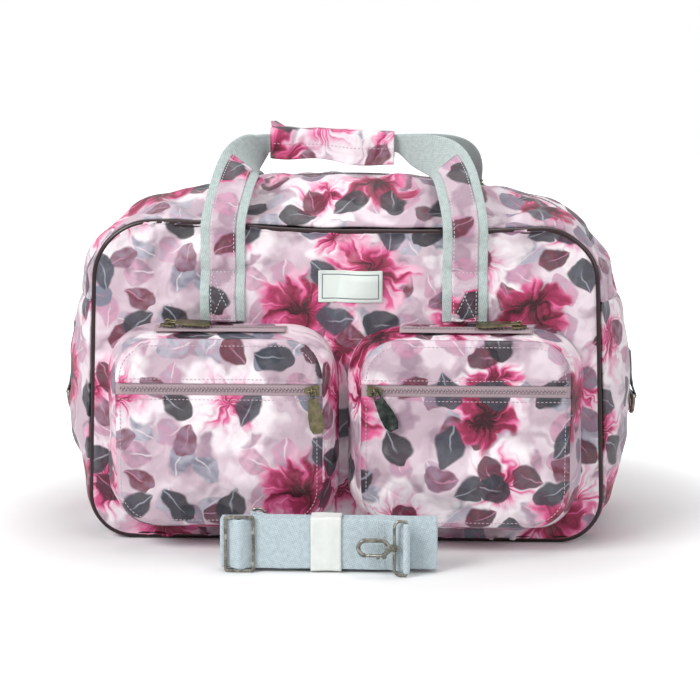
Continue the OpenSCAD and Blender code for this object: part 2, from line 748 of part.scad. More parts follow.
// Shoulder strap folded to and fro, standing on edge, seen here from above as one long line
function half_turned(path) = [for (p = reversed(path)) [-2 * bundle_shift - p[0], 2 * bundle_mid_y - p[1]]];
function circle_line(x, y, r, a0, a1, n) =
    [for (i = [0:n]) let (a = a0 + (a1 - a0) * i / n) [x + r * cos(a), y + r * sin(a)]];
strap_end = concat(circle_line(hook_bar_x, hook_bar_y, loop_r, -150, 90, 12),
    [for (i = [1:8]) [hook_bar_x - curve_l * i / 8,
        hook_bar_y + loop_r + (hook_off - loop_r) * smooth(i / 8)]]);
buckle_line = [for (i = [-7:7]) [buckle_x - buckle_bump_l * i / 7,
    strap_y - buckle_bump * pow(cos(90 * i / 7), 2)]];
strap_folds = [for (k = [0:runs - 2]) each circle_line(k % 2 == 0 ? left_x : right_x,
    strap_y + (k + 0.5) * layer_pitch, layer_pitch / 2, k % 2 == 0 ? 270 : -90, 90, 4)];
module shoulder_strap() {
    color(strap_cloth) translate([0, 0, strap_z]) linear_extrude(strap_w)
        band(concat(strap_end, buckle_line, strap_folds, half_turned(strap_end)), strap_t);
}
module slide_buckle() {
    slot_w = (buckle_w - 3 * buckle_bar) / 2;
    color(nickel) translate([buckle_x, buckle_y, fitting_h / 2]) rotate([90, 0, 0]) difference() {
        translate([0, 0, -buckle_t / 2]) linear_extrude(buckle_t)
            rounded_plate(buckle_w, fitting_h, buckle_bar);
        for (x = [-1, 1])
            translate([x * (slot_w + buckle_bar) / 2, 0, 0])
                cube([slot_w, strap_w + 2 * gap, buckle_t + overrun], center = true);
    }
}
module keeper_band() {
    inner_d = (runs - 1) * layer_pitch + strap_t + 2 * gap;
    inner_h = strap_w + 2 * gap;
    color(white_cloth) translate([keeper_x - keeper_w / 2, bundle_mid_y, strap_mid_z]) rotate([90, 0, 90])
        linear_extrude(keeper_w) difference() {
            rounded_plate(inner_d + 2 * keeper_t, inner_h + 2 * keeper_t, keeper_t);
            square([inner_d, inner_h], center = true);
        }
}

// Snap hook in its own frame: X runs from the swivel to the nose and the gate lies below
module wire_x(x0, x1, r) {
    translate([x0, 0, 0]) rotate([0, 90, 0]) cylinder(r = r, h = x1 - x0);
}
module wire_bend(x, z, r, wire, a0, a1) {
    translate([x, 0, z]) rotate([90, 0, 0]) rotate([0, 0, a0]) rotate_extrude(angle = a1 - a0)
        translate([r, 0]) circle(wire);
}
module hook_eye() {
    half_h = fitting_h / 2 - eye_r;
    tight_r = half_h - strap_w / 2 - gap;
    color(nickel) difference() {
        union() {
            translate([-eye_d, 0, 0]) cylinder(r = eye_r, h = 2 * (half_h - tight_r), center = true);
            cylinder(r = eye_r, h = 2 * (half_h - eye_corner_r), center = true);
            for (z = [-1, 1])
                translate([0, 0, z * half_h]) wire_x(tight_r - eye_d, -eye_corner_r, eye_r);
            wire_bend(tight_r - eye_d, half_h - tight_r, tight_r, eye_r, 90, 180);
            wire_bend(tight_r - eye_d, tight_r - half_h, tight_r, eye_r, 180, 270);
            wire_bend(-eye_corner_r, half_h - eye_corner_r, eye_corner_r, eye_r, 0, 90);
            wire_bend(-eye_corner_r, eye_corner_r - half_h, eye_corner_r, eye_r, 270, 360);
            wire_x(-boss_l / 2, boss_l / 2, boss_r);
        }
        wire_x(-boss_l / 2 - overrun, boss_l / 2 + overrun, pin_r + gap);
    }
}
module hook_body() {
    ear = [hook_root_x + hook_r * cos(ear_a), hook_r * sin(ear_a)];
    arm = [gate_x - ear[0], -hook_r - ear[1]];
    color(nickel) {
        wire_x(-boss_l / 2 - gap - head_t, -boss_l / 2 - gap, head_r);
        wire_x(-boss_l / 2 - gap - head_t, boss_l / 2 + gap + barrel_l, pin_r);
        wire_x(boss_l / 2 + gap, boss_l / 2 + gap + barrel_l, boss_r);
        wire_bend(hook_root_x, 0, hook_r, hook_bar_r, 90, ear_a);
        translate([0, 0, hook_r]) wire_x(hook_root_x, hook_nose_x, hook_bar_r);
        wire_bend(hook_nose_x, 0, hook_r, hook_bar_r, -90, 90);
        translate([gate_x, 0, -hook_r]) rotate([90, 0, 0])
            cylinder(r = gate_pin_r, h = knuckle_w + 2 * gap + 2 * ear_t, center = true);
        translate([ear[0], 0, ear[1]]) rotate([90, 0, 0])
            cylinder(r = ear_r, h = knuckle_w + 2 * gap + 2 * ear_t, center = true);
        for (y = [-1, 1])
            translate([0, y * (knuckle_w / 2 + gap + ear_t / 2), 0]) {
                translate([gate_x, 0, -hook_r]) rotate([90, 0, 0])
                    cylinder(r = ear_r, h = ear_t, center = true);
                translate([ear[0], 0, ear[1]]) rotate([0, -atan2(arm[1], arm[0]), 0])
                    translate([norm(arm) / 2, 0, 0]) cube([norm(arm), ear_t, 2 * gate_r], center = true);
            }
    }
}
module hook_gate() {
    stub = gate_r;
    color(nickel) translate([gate_x, 0, -hook_r]) {
        difference() {
            union() {
                rotate([90, 0, 0]) cylinder(r = ear_r, h = knuckle_w, center = true);
                wire_x(0, hook_nose_x - gate_x - gap, gate_r);
                translate([(hook_nose_x - gate_x) / 3, 0, -gate_r - stub])
                    cylinder(r = stub, h = stub + gate_r);
            }
            rotate([90, 0, 0]) cylinder(r = gate_pin_r + gap, h = knuckle_w + overrun, center = true);
        }
    }
}
module at_front_hook() {
    translate([hook_bar_x - eye_d, hook_bar_y, strap_mid_z]) rotate([0, 0, 180]) children();
}
module at_rear_hook() {
    translate([-2 * bundle_shift - hook_bar_x + eye_d, 2 * bundle_mid_y - hook_bar_y, strap_mid_z])
        children();
}
module front_hook_eye() {
    at_front_hook() hook_eye();
}
module front_hook() {
    at_front_hook() hook_body();
}
module front_hook_gate() {
    at_front_hook() hook_gate();
}
module rear_hook_eye() {
    at_rear_hook() hook_eye();
}
module rear_hook() {
    at_rear_hook() hook_body();
}
module rear_hook_gate() {
    at_rear_hook() hook_gate();
}

front_panel();
back_panel();
base_panel();
base_board();
left_end_panel();
right_end_panel();
top_strip_front();
top_strip_back();
main_zip();
front_piping();
back_piping();
main_slider_left();
main_pull_left();
main_slider_right();
main_pull_right();
left_pocket_gusset();
left_pocket_upper_face();
left_pocket_lower_face();
left_face_zip();
left_top_zip();
left_face_slider();
left_face_pull();
left_top_slider();
left_top_pull();
right_pocket_gusset();
right_pocket_upper_face();
right_pocket_lower_face();
right_face_zip();
right_top_zip();
right_face_slider();
right_face_pull();
right_top_slider();
right_top_pull();
front_handle();
front_handle_trim();
back_handle();
back_handle_trim();
handle_wrap();
label_patch();
left_ring_tab();
left_d_ring();
right_ring_tab();
right_d_ring();
shoulder_strap();
slide_buckle();
keeper_band();
front_hook_eye();
front_hook();
front_hook_gate();
rear_hook_eye();
rear_hook();
rear_hook_gate();
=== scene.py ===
"""Printed travel holdall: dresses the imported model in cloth, webbing and metal, and sets a pale studio."""
import math
from functools import partial
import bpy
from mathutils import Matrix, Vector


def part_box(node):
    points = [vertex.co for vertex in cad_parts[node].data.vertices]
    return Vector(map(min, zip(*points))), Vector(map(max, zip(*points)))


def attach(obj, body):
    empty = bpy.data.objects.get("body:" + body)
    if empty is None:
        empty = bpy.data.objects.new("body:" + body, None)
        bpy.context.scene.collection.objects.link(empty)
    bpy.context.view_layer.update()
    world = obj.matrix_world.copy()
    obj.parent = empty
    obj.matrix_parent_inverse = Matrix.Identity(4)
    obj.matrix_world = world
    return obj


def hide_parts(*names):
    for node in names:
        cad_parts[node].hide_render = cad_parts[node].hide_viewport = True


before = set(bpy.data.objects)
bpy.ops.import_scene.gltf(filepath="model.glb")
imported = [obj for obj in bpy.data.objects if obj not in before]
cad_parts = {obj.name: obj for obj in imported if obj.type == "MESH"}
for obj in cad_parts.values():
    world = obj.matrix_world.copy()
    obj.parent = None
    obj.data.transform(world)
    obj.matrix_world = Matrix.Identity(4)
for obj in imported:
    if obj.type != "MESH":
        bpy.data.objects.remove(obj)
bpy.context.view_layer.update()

from types import SimpleNamespace

import bpy
import numpy as np
from bpy.props import FloatProperty, FloatVectorProperty, IntProperty, PointerProperty
from bpy.types import Operator, Panel, PropertyGroup
from mathutils import Vector

bl_info = {
    "name": "Printed travel holdall",
    "version": (1, 0, 0),
    "blender": (4, 5, 0),
    "location": "View3D > Sidebar > Holdall",
    "description": "Soft pieces, finishes and studio of a printed travel holdall",
    "category": "Object",
}


def linear(code):
    """sRGB hex colour as linear red, green and blue, by the piecewise sRGB curve."""
    s = np.array([int(code[i:i + 2], 16) for i in (1, 3, 5)]) / 255
    return tuple(np.where(s <= 0.04045, s / 12.92, ((s + 0.055) / 1.055) ** 2.4))


def length(name, description, default):
    """Size in metres, kept with the scene."""
    return FloatProperty(name=name, description=description, default=default, unit="LENGTH")


def shade_of(name, description, code):
    """Colour kept with the scene, given as sRGB hex."""
    return FloatVectorProperty(name=name, description=description, subtype="COLOR", default=linear(code))


class HoldallSizes(PropertyGroup):
    """Sizes of the soft pieces, in metres."""
    half_base: length("Half base", "Half the width of the panels along the base", 0.235)
    half_top: length("Half top", "Half the width of the panels along the top", 0.225)
    panel_height: length("Panel height", "Height of the front and back panels", 0.291)
    half_depth: length("Half depth", "Half the depth from front seam to back seam", 0.105)
    panel_swell: length("Panel swell", "How far the middle of a panel stands out", 0.014)
    end_swell: length("End swell", "How far each end of the bag stands out", 0.034)
    top_crown: length("Top crown", "Rise of the zipped top above the panels", 0.037)
    pocket_swell: length("Pocket swell", "How far a pocket's face is filled out", 0.007)
    cloth_thickness: length("Cloth thickness", "Thickness of the lined cloth", 0.0024)
    wrinkle: length("Wrinkle height", "Height of the slack wrinkles laid in the cloth", 0.0030)
    webbing_width: length("Handle width", "Width of the handle webbing", 0.040)
    stitch_length: length("Stitch length", "Length of one topstitch with its gap", 0.0036)
    tooth_pitch: length("Zip pitch", "Distance between the turns of the zip coil", 0.0016)
    settle_frames: IntProperty(name="Settling frames", default=22, min=1,
                               description="Frames of cloth simulation for each panel")


class HoldallColours(PropertyGroup):
    """Colours of the cloth, webbing and metal."""
    ground: shade_of("Ground", "Mauve ground of the print", "#C3ADB9")
    pale: shade_of("Pale wash", "Pale pink wash of the print", "#EBDCE4")
    pink: shade_of("Pink", "Bright pink of the blossoms", "#DA5F93")
    wine: shade_of("Wine", "Dark red of the blossoms", "#8A2547")
    slate: shade_of("Slate", "Dark slate of the leaves", "#262A31")
    piping: shade_of("Piping", "Dark maroon of the piping", "#24090F")
    handle: shade_of("Handle webbing", "Pale sage of the handles", "#B2BFBD")
    strap: shade_of("Strap webbing", "Pale blue-grey of the strap", "#B7C6CC")
    tape: shade_of("Zip tape", "Mauve-grey of the zip tape", "#B09DA3")


# one millimetre in metres, and a full turn in radians as the shaders use it
MM, TURN = 0.001, 6.283


def shape():
    """Measures in millimetres worked out from the sizes: the lean of the sides, corner arcs and crown."""
    p = bpy.context.scene.holdall_sizes
    m = SimpleNamespace(base=p.half_base / MM, top=p.half_top / MM, high=p.panel_height / MM,
                        deep=p.half_depth / MM, swell=p.panel_swell / MM, ends=p.end_swell / MM,
                        crown=p.top_crown / MM, pocket=p.pocket_swell / MM, cloth=p.cloth_thickness / MM,
                        wrinkle=p.wrinkle / MM, webbing=p.webbing_width / MM, stitch=p.stitch_length / MM,
                        tooth=p.tooth_pitch / MM)
    m.lean = math.atan((m.base - m.top) / m.high)
    m.low_r, m.high_r, m.pipe, m.seam = 40, 54, 3, 218
    m.low_x = m.base - m.low_r * (1 + math.sin(m.lean)) / math.cos(m.lean)
    m.high_x = m.base - (m.high_r + (m.high - m.high_r) * math.sin(m.lean)) / math.cos(m.lean)
    m.crown_r = (m.top ** 2 + m.crown ** 2) / (2 * m.crown)
    m.gusset = m.deep - 2 * m.pipe - 0.3
    m.pocket_x, m.face_w, m.face_low, m.face_high, m.face_r = 108, 184, 24, 190, 34
    m.back_w, m.back_low, m.back_high, m.back_r = 208, 17, 200, 44
    m.face_y, m.face_edge, m.gusset_w, m.pocket_cloth, m.zip_z, m.zip_w = -m.deep - 50, 6, 52, 2.0, 146, 10
    m.top_zip_y, m.top_zip_z, m.top_zip_half, m.gusset_run = -133.25, 197.65, 58, 57
    m.label_x, m.label_z, m.label_w, m.label_h = 6, 233, 57, 28
    m.leg_x, m.leg_low, m.leg_sewn, m.trim_w = 107.0, 202.0, 249.0, 23
    m.grip_z, m.wrap_x, m.wrap_half, m.wrap_tilt = 356.0, -16, 58, 0.045
    m.tab_w, m.strap_w, m.strap_z, m.strap_y, m.layer = 28.0, 43.0, 24.4, -215.0, 2.7
    return m


def smooth(t):
    """Eases from 0 to 1 with a level start and end."""
    t = np.clip(t, 0, 1)
    return t * t * (3 - 2 * t)


def stack(x, y, z):
    """Three arrays that broadcast together, as one array of points."""
    return np.stack(np.broadcast_arrays(x, y, z), -1).astype(float)


def pattern(u, v):
    """Two arrays that broadcast together, as one array of places on a flat pattern."""
    return stack(u, v, 0)[..., :2]


def closed(ring):
    """Ring of points with its first point again at the end."""
    return np.concatenate([ring, ring[:1]])


def circle(a):
    """Points of a unit circle at these angles."""
    return np.stack([np.cos(a), np.sin(a)], -1)


def flattened(v, power):
    """Sine or cosine drawn towards its limits by a power, with its sign kept."""
    return np.sign(v) * np.abs(v) ** power


def quads(n, m):
    """Corner numbers of the quads in a grid of n by m points."""
    i, j = np.meshgrid(np.arange(n - 1), np.arange(m - 1), indexing="ij")
    at = i * m + j
    return np.stack([at, at + m, at + m + 1, at + 1], -1).reshape(-1, 4).tolist()


def placed(name, data):
    """New object of a mesh, camera or lamp, put in the scene."""
    made = bpy.data.objects.new(name, data)
    bpy.context.scene.collection.objects.link(made)
    return made


def unit(v):
    """Vectors scaled to length 1."""
    return v / np.maximum(np.linalg.norm(v, axis=-1, keepdims=True), 1e-9)


def tangents(path):
    """Unit direction at each point of a path, from the points either side of it."""
    return unit(np.gradient(path, axis=0))


def lengths(path):
    """Distance along a path from its start to each point."""
    steps = np.linalg.norm(np.diff(path, axis=0), axis=1)
    return np.concatenate([[0], np.cumsum(steps)])


def spaced(path, pitch, *also):
    """Path, and arrays that go with it, read again at even steps of about pitch."""
    far = lengths(path)
    at = np.linspace(0, far[-1], max(2, int(round(far[-1] / pitch)) + 1))
    return [np.stack([np.interp(at, far, column) for column in a.T], -1) for a in (path, *also)]


def through(points, steps):
    """Smooth curve through control rows: a Catmull-Rom blend of each four neighbours."""
    p = np.concatenate([points[:1], points, points[-1:]])
    t = np.linspace(0, 1, steps, endpoint=False)[None, :, None]
    a, b, c, d = (p[i:len(p) - 3 + i, None, :] for i in range(4))
    line = 2 * b + (c - a) * t + (2 * a - 5 * b + 4 * c - d) * t ** 2 + (3 * b - a - 3 * c + d) * t ** 3
    line = 0.5 * line
    return np.concatenate([line.reshape(-1, points.shape[1]), points[-1:]])


def ripple(u, v, seed, sizes=(88, 53, 34), count=9):
    """Soft uneven relief from -1 to 1: seeded sine waves of several wavelengths (mm) crossing at all
    angles."""
    rng = np.random.default_rng(seed)
    total = np.zeros(np.broadcast(u, v).shape)
    for wave in sizes:
        angle = rng.uniform(0, np.pi, count)
        phase = rng.uniform(0, 2 * np.pi, count)
        k = 2 * np.pi / (wave * rng.uniform(0.8, 1.25, count))
        slope = np.multiply.outer(u, k * np.cos(angle)) + np.multiply.outer(v, k * np.sin(angle))
        total = total + np.sin(slope + phase).sum(-1) * wave / sizes[0]
    return np.clip(total / (1.4 * np.sqrt(count)), -1.6, 1.6)


def folds(u, v, seed):
    """Slack cloth: soft relief with a few sharp-backed folds, ridged where a second relief passes through
    zero."""
    return 0.6 * ripple(u, v, seed) + 0.9 * (0.5 - np.abs(ripple(u, v, seed + 500, (96, 60), 5)))


def plain_uv(points, first=0.0, second=0.0):
    """Lengths along the rows and columns of a grid, as a flat pattern in millimetres."""
    down = np.linalg.norm(np.diff(points, axis=0), axis=-1).mean(1)
    across = np.linalg.norm(np.diff(points, axis=1), axis=-1).mean(0)
    v = np.concatenate([[0], np.cumsum(down)])[:, None] + second
    u = np.concatenate([[0], np.cumsum(across)])[None, :] + first
    return pattern(u, v)


def surface(name, points, kind, slot, replaces=(), uv=None, loop_rows=False, loop_columns=False, tube=False,
            levels=0, thickness=0.0):
    """Mesh piece of one finish from a grid of points in mm, rows by columns, or from many like grids. Each
    quad joins two rows and two columns, and faces the way of row direction times column direction. A
    direction that loops joins its last line to its first. A tube loops its columns, and its ends are closed
    with quads from side to side of its ring."""
    grids = points.reshape((-1,) + points.shape[-3:])
    k, n, m = grids.shape[:3]
    rows, columns = n if loop_rows else n - 1, m if loop_columns or tube else m - 1
    i, j = np.meshgrid(np.arange(rows), np.arange(columns), indexing="ij")
    ci = np.stack([i, i + 1, i + 1, i], -1).reshape(-1, 4)
    cj = np.stack([j, j, j + 1, j + 1], -1).reshape(-1, 4)
    shift = np.arange(k)[:, None, None] * n * m
    faces = (((ci % n) * m + cj % m)[None] + shift).reshape(-1, 4).tolist()
    c = np.arange(m // 2 - 1 if tube else 0)
    first = np.stack([c, c + 1, m - 2 - c, m - 1 - c], -1)
    faces += (first[None] + shift).reshape(-1, 4).tolist()
    faces += (first[None, :, ::-1] + shift + (n - 1) * m).reshape(-1, 4).tolist()
    mesh = bpy.data.meshes.new(name)
    mesh.from_pydata((grids.reshape(-1, 3) * MM).tolist(), [], faces)
    if uv is None:
        flat = np.zeros((n + 1, m + 1, 2))
        flat[..., 0], flat[..., 1] = np.arange(m + 1)[None], np.arange(n + 1)[:, None]
    else:
        flat = uv
    loops = np.concatenate([np.tile(part.reshape(-1, 2), (k, 1)) for part in (
        flat[ci, cj], flat[0, first], flat[n - 1, first[:, ::-1]])])
    layer = mesh.uv_layers.new(name="cloth")
    layer.data.foreach_set("uv", (loops * MM).ravel())
    mesh.polygons.foreach_set("use_smooth", np.ones(len(mesh.polygons), dtype=bool))
    mesh.update()
    mesh.materials.append(finish(kind))
    piece = placed(name, mesh)
    if levels:
        sub = piece.modifiers.new("even", "SUBSURF")
        sub.levels = sub.render_levels = levels
    if thickness:
        wall = piece.modifiers.new("wall", "SOLIDIFY")
        wall.thickness, wall.offset = thickness * MM, -1
    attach(piece, "bag")
    if replaces:
        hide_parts(*replaces)
    return piece


def printed(name, points, uv, thickness, **loops):
    """Sheet of printed cloth that stands for a node of the frame."""
    surface(name + "_cloth", points, "print", "printed_cloth", (name,), uv=uv, levels=1, thickness=thickness,
            **loops)


def settle(points, pinned, press, slack=0.014, cap=4.5):
    """Cloth simulation of a grid held at its pinned points: it is cut slack times too large and pressed from
    inside, so it buckles into wrinkles. Each point moves at most cap mm from where it started."""
    scene = bpy.context.scene
    mesh = bpy.data.meshes.new("settling")
    mesh.from_pydata((points.reshape(-1, 3) * MM).tolist(), [], quads(*points.shape[:2]))
    cloth = placed("settling", mesh)
    group = cloth.vertex_groups.new(name="sewn")
    group.add(np.flatnonzero(pinned.ravel()).tolist(), 1.0, "REPLACE")
    modifier = cloth.modifiers.new("settle", "CLOTH")
    s = modifier.settings
    s.quality, s.mass, s.air_damping = 6, 0.2, 2.0
    s.tension_stiffness = s.compression_stiffness = 18
    s.shear_stiffness, s.bending_stiffness = 8, 0.4
    s.vertex_group_mass, s.shrink_min = "sewn", -slack
    s.use_pressure, s.uniform_pressure_force = True, press
    s.effector_weights.gravity = 0.0
    frames = scene.holdall_sizes.settle_frames
    modifier.point_cache.frame_start, modifier.point_cache.frame_end = 1, frames
    for f in range(1, frames + 1):
        scene.frame_set(f)
    done = cloth.evaluated_get(bpy.context.evaluated_depsgraph_get()).to_mesh()
    moved = np.empty(points.size)
    done.vertices.foreach_get("co", moved)
    bpy.data.objects.remove(cloth)
    scene.frame_set(1)
    move = moved.reshape(points.shape) / MM - points
    far = np.linalg.norm(move, axis=-1, keepdims=True)
    return points + move * np.minimum(1, cap / np.maximum(far, 1e-9))


def capsules(start, end, up, radius, sink=0.25, rings=5, sides=6):
    """Row of small round-ended rods from start to end points: circles whose radius rises and falls as a half
    circle along the rod, sunk at both ends against the up direction."""
    t = np.linspace(0, 1, rings)[None, :, None, None]
    a = np.linspace(0, 2 * np.pi, sides, endpoint=False)[None, None, :, None]
    along = unit(end - start)[:, None, None, :]
    up = unit(up - along[:, 0, 0] * (up * along[:, 0, 0]).sum(-1, keepdims=True))[:, None, None, :]
    side = np.cross(along, up)
    middle = start[:, None, None, :] + (end - start)[:, None, None, :] * t - up * sink * (2 * t - 1) ** 4
    thick = radius * np.sqrt(np.maximum(1 - (2 * t - 1) ** 6, 0.04))
    return middle + thick * (np.cos(a) * side + np.sin(a) * up)


def topstitch(name, paths, up, kind, slot, pitch, radius):
    """Line of thread stitches along each path: rods that fill three quarters of the pitch and dip at their
    ends."""
    rods = []
    for path in paths:
        lift = np.broadcast_to(np.asarray(up, float), np.shape(path))
        line, face = spaced(np.asarray(path, float), pitch, lift)
        step = line[1:] - line[:-1]
        rods.append(capsules(line[:-1] + 0.12 * step, line[1:] - 0.12 * step, face[:-1], radius))
    return surface(name, np.concatenate(rods), kind, slot, tube=True)


def zip_coil(name, line, across, up, pitch):
    """Nylon coil along a line: rods across the zip, turn about from the left and the right tape, meshed past
    the middle."""
    across, up = np.broadcast_to(across, line.shape), np.broadcast_to(up, line.shape)
    path, side, face = spaced(line, pitch, across, up)
    side = unit(side)
    turn = np.where(np.arange(len(path)) % 2 == 0, 1.0, -1.0)[:, None]
    rods = capsules(path - turn * side * 0.5, path + turn * side * 2.3, face, 0.62 * pitch, sink=0.3)
    return surface(name, rods, "coil", "zip_tape", tube=True)


def ribbon(path, wide, face, width, thick):
    """Band of webbing: a flat round-edged ring of twenty points carried along the path, wide across and
    thick through. Rows follow the path, columns go round the band."""
    a = np.linspace(0, 2 * np.pi, 20, endpoint=False)
    flat, deep = flattened(np.cos(a), 0.35), flattened(np.sin(a), 0.55)
    w = np.asarray(width, float).reshape(-1, 1, 1) / 2
    t = np.asarray(thick, float).reshape(-1, 1, 1) / 2
    return path[:, None] + wide[:, None] * flat[None, :, None] * w + face[:, None] * deep[None, :, None] * t


def outward(band, path):
    """Turns the columns round where a ring runs the wrong way for faces that point out."""
    ring = band[0] - path[0]
    spin = np.cross(ring, np.roll(ring, -1, 0)).sum(0)
    return band[:, ::-1] if spin @ (path[1] - path[0]) > 0 else band


def ribbon_uv(path, width):
    """Flat pattern of a band: width times the cosine round the ring, and length along the path, in mm."""
    a = np.linspace(0, 2 * np.pi, 21)
    flat = flattened(np.cos(a), 0.35) * width / 2
    return pattern(flat[None, :], lengths(path)[:, None])


def add(tree, kind, *inputs, stops=(), **settings):
    """Adds a shader node, named by its kind and any operation, with its own settings. Its inputs, in order or
    as a table of sockets, are filled with values or other nodes' outputs, the colours of a ramp are spread
    evenly, and the first output in use is given back."""
    kind, *operation = kind.split()
    node = tree.nodes.new("ShaderNode" + kind)
    if operation:
        node.operation = operation[0]
    for key, value in settings.items():
        setattr(node, key, value)
    sockets = inputs[0] if inputs and isinstance(inputs[0], dict) else dict(enumerate(inputs))
    for socket, value in sockets.items():
        if isinstance(value, bpy.types.NodeSocket):
            tree.links.new(value, node.inputs[socket])
        elif node.inputs[socket].type == "RGBA":
            node.inputs[socket].default_value = (*value[:3], 1)
        else:
            node.inputs[socket].default_value = value
    for place, colour in zip(np.linspace(0, 1, max(2, len(stops))), stops):
        held = node.color_ramp.elements
        stop = held[0] if place == 0 else held[-1] if place == 1 else held.new(place)
        stop.color = (*colour, 1)
    return next(socket for socket in node.outputs if socket.enabled)


def finish_of(name, **sockets):
    """New material of one Principled shader with these constant sockets, and what adds nodes to its tree."""
    made = bpy.data.materials.new(name)
    made.use_nodes = True
    shader = made.node_tree.nodes["Principled BSDF"]
    for socket, value in sockets.items():
        shader.inputs[socket.replace("_", " ")].default_value = value
    return made, partial(add, made.node_tree), shader


def feed(shader, **outputs):
    """Links nodes' outputs to sockets of the shader."""
    for socket, output in outputs.items():
        shader.id_data.links.new(output, shader.inputs[socket.replace("_", " ")])


def shaded(node, share, colour, dark, light):
    """One colour from a dark to a light share of itself, as a pattern goes from 0 to 1."""
    low, high = [dark * v for v in colour], [min(1.0, light * v) for v in colour]
    return node("Mix", {0: share, 6: low, 7: high}, data_type="RGBA")


def motif_cells(node, place, cell, seed, spread=0.62):
    """Scatters one motif to each cell of an uneven grid: gives a point's offset from its motif's middle in
    cells, and the motif's own three random numbers."""
    at = node("VectorMath MULTIPLY", place, (1 / cell, 1 / cell, 0))
    at = node("VectorMath ADD", at, (seed * 3.7, seed * 5.3, 0))
    cells = node("TexVoronoi", {"Vector": at, "Scale": 1.0, "Randomness": spread}, voronoi_dimensions="2D")
    off = node("VectorMath SUBTRACT", at, cells.node.outputs["Position"])
    own = node("SeparateColor", cells.node.outputs["Color"])
    return off, own.node.outputs


def blossom(node, below, place, cell, seed, size, shades, keep, petals):
    """Paints open blossoms over a colour: two rings of round petals, each a circle whose radius follows the
    cosine of the angle. Brush streaks run out from a dark heart to a pale rim, and keep is the share of cells
    in use."""
    off, own = motif_cells(node, place, cell, seed)
    flat = node("SeparateXYZ", off).node.outputs
    far = node("VectorMath LENGTH", off)
    turn = node("Math ARCTAN2", flat[1], flat[0])
    turn = node("Math MULTIPLY_ADD", own[0], TURN, turn)
    way = node("VectorMath NORMALIZE", off)
    depth = node("Math MULTIPLY_ADD", own[1], 40.0, far)
    stroke = node("VectorMath MULTIPLY_ADD", way, (2.7, 2.7, 0.0), node("CombineXYZ", {2: depth}))
    streak = node("TexNoise", {"Vector": stroke, "Scale": 1.4, "Detail": 1.5})
    grown = node("MapRange", {0: own[2], 3: 0.75 * size, 4: 1.1 * size})
    shown = node("Math LESS_THAN", own[1], keep)
    colour = below
    for reach, count, lag, paler in ((1.0, petals, 0.0, -0.72), (0.58, petals + 1, 0.7, -1.0)):
        lobe = node("Math MULTIPLY_ADD", turn, count / 2, lag)
        lobe = node("Math COSINE", lobe)
        lobe = node("Math ABSOLUTE", lobe)
        edge = node("MapRange", {0: lobe, 3: 0.62 * reach, 4: reach})
        edge = node("Math MULTIPLY", edge, grown)
        ratio = node("Math DIVIDE", far, edge)
        cover = node("MapRange", {0: ratio, 1: 1.02, 2: 0.76}, interpolation_type="SMOOTHSTEP")
        cover = node("Math MULTIPLY", cover, shown)
        tone = node("Math MULTIPLY_ADD", ratio, 0.78, paler)
        tone = node("Math MULTIPLY_ADD", streak, 1.5, tone)
        tone = node("Math MULTIPLY_ADD", own[2], 0.45, tone)
        painted = node("ValToRGB", tone, stops=shades)
        colour = node("Mix", {0: cover, 6: colour, 7: painted}, data_type="RGBA")
    return colour


def leaf(node, below, place, cell, seed, long, wide, shades, rib, keep, thin=0.92):
    """Paints leaves over a colour: each lies at its own angle, as wide as a power of one less the square of
    the place along it, washed unevenly in a shade of its own, with a short pale midrib."""
    off, own = motif_cells(node, place, cell, seed)
    angle = node("Math MULTIPLY", own[0], TURN)
    laid = node("VectorRotate", {"Vector": off, "Angle": angle}, rotation_type="Z_AXIS")
    flat = node("SeparateXYZ", laid).node.outputs
    along = node("Math DIVIDE", flat[0], long)
    taper = node("Math MULTIPLY", along, along)
    taper = node("Math SUBTRACT", 1.0, taper, use_clamp=True)
    taper = node("Math POWER", taper, 0.72)
    skew = node("Math MULTIPLY_ADD", along, 0.28, 1.0)
    taper = node("Math MULTIPLY", taper, skew)
    across = node("Math ABSOLUTE", flat[1])
    ratio = node("Math DIVIDE", across, wide)
    inside = node("Math SUBTRACT", taper, ratio)
    shown = node("Math LESS_THAN", own[1], keep)
    cover = node("MapRange", {0: inside, 1: 0.02, 2: 0.24, 4: thin}, interpolation_type="SMOOTHSTEP")
    cover = node("Math MULTIPLY", cover, shown)
    wash = node("TexNoise", {"Vector": off, "Scale": 3.4, "Detail": 1.0}, noise_dimensions="2D")
    tone = node("Math MULTIPLY_ADD", wash, 0.9, -0.42)
    tone = node("Math MULTIPLY_ADD", own[2], 0.95, tone)
    painted = node("ValToRGB", tone, stops=shades)
    vein = node("MapRange", {0: ratio, 1: 0.025, 2: 0.075, 3: 0.6, 4: 0.0})
    short = node("MapRange", {0: along, 1: -0.1, 2: 0.5, 3: 1.0, 4: 0.0})
    vein = node("Math MULTIPLY", vein, short)
    painted = node("Mix", {0: vein, 6: painted, 7: rib}, data_type="RGBA")
    return node("Mix", {0: cover, 6: below, 7: painted}, data_type="RGBA")


def woven(node, shader, place, warp, weft, height, under=None):
    """Adds the relief of a plain weave: a sine across the threads times a sine along them (warp and weft, in
    m apart), over any broader relief, and gives back the weave's height from 0 to 1."""
    at = node("VectorMath MULTIPLY", place, (TURN / warp, TURN / weft, 0))
    flat = node("SeparateXYZ", at).node.outputs
    rib = node("Math SINE", flat[0])
    pick = node("Math SINE", flat[1])
    both = node("Math MULTIPLY", rib, pick)
    rise = node("Math MULTIPLY_ADD", both, 0.5, 0.5)
    links = {"Height": rise, "Distance": height, "Strength": 0.8}
    if under is not None:
        links["Normal"] = under
    feed(shader, Normal=node("Bump", links))
    return rise


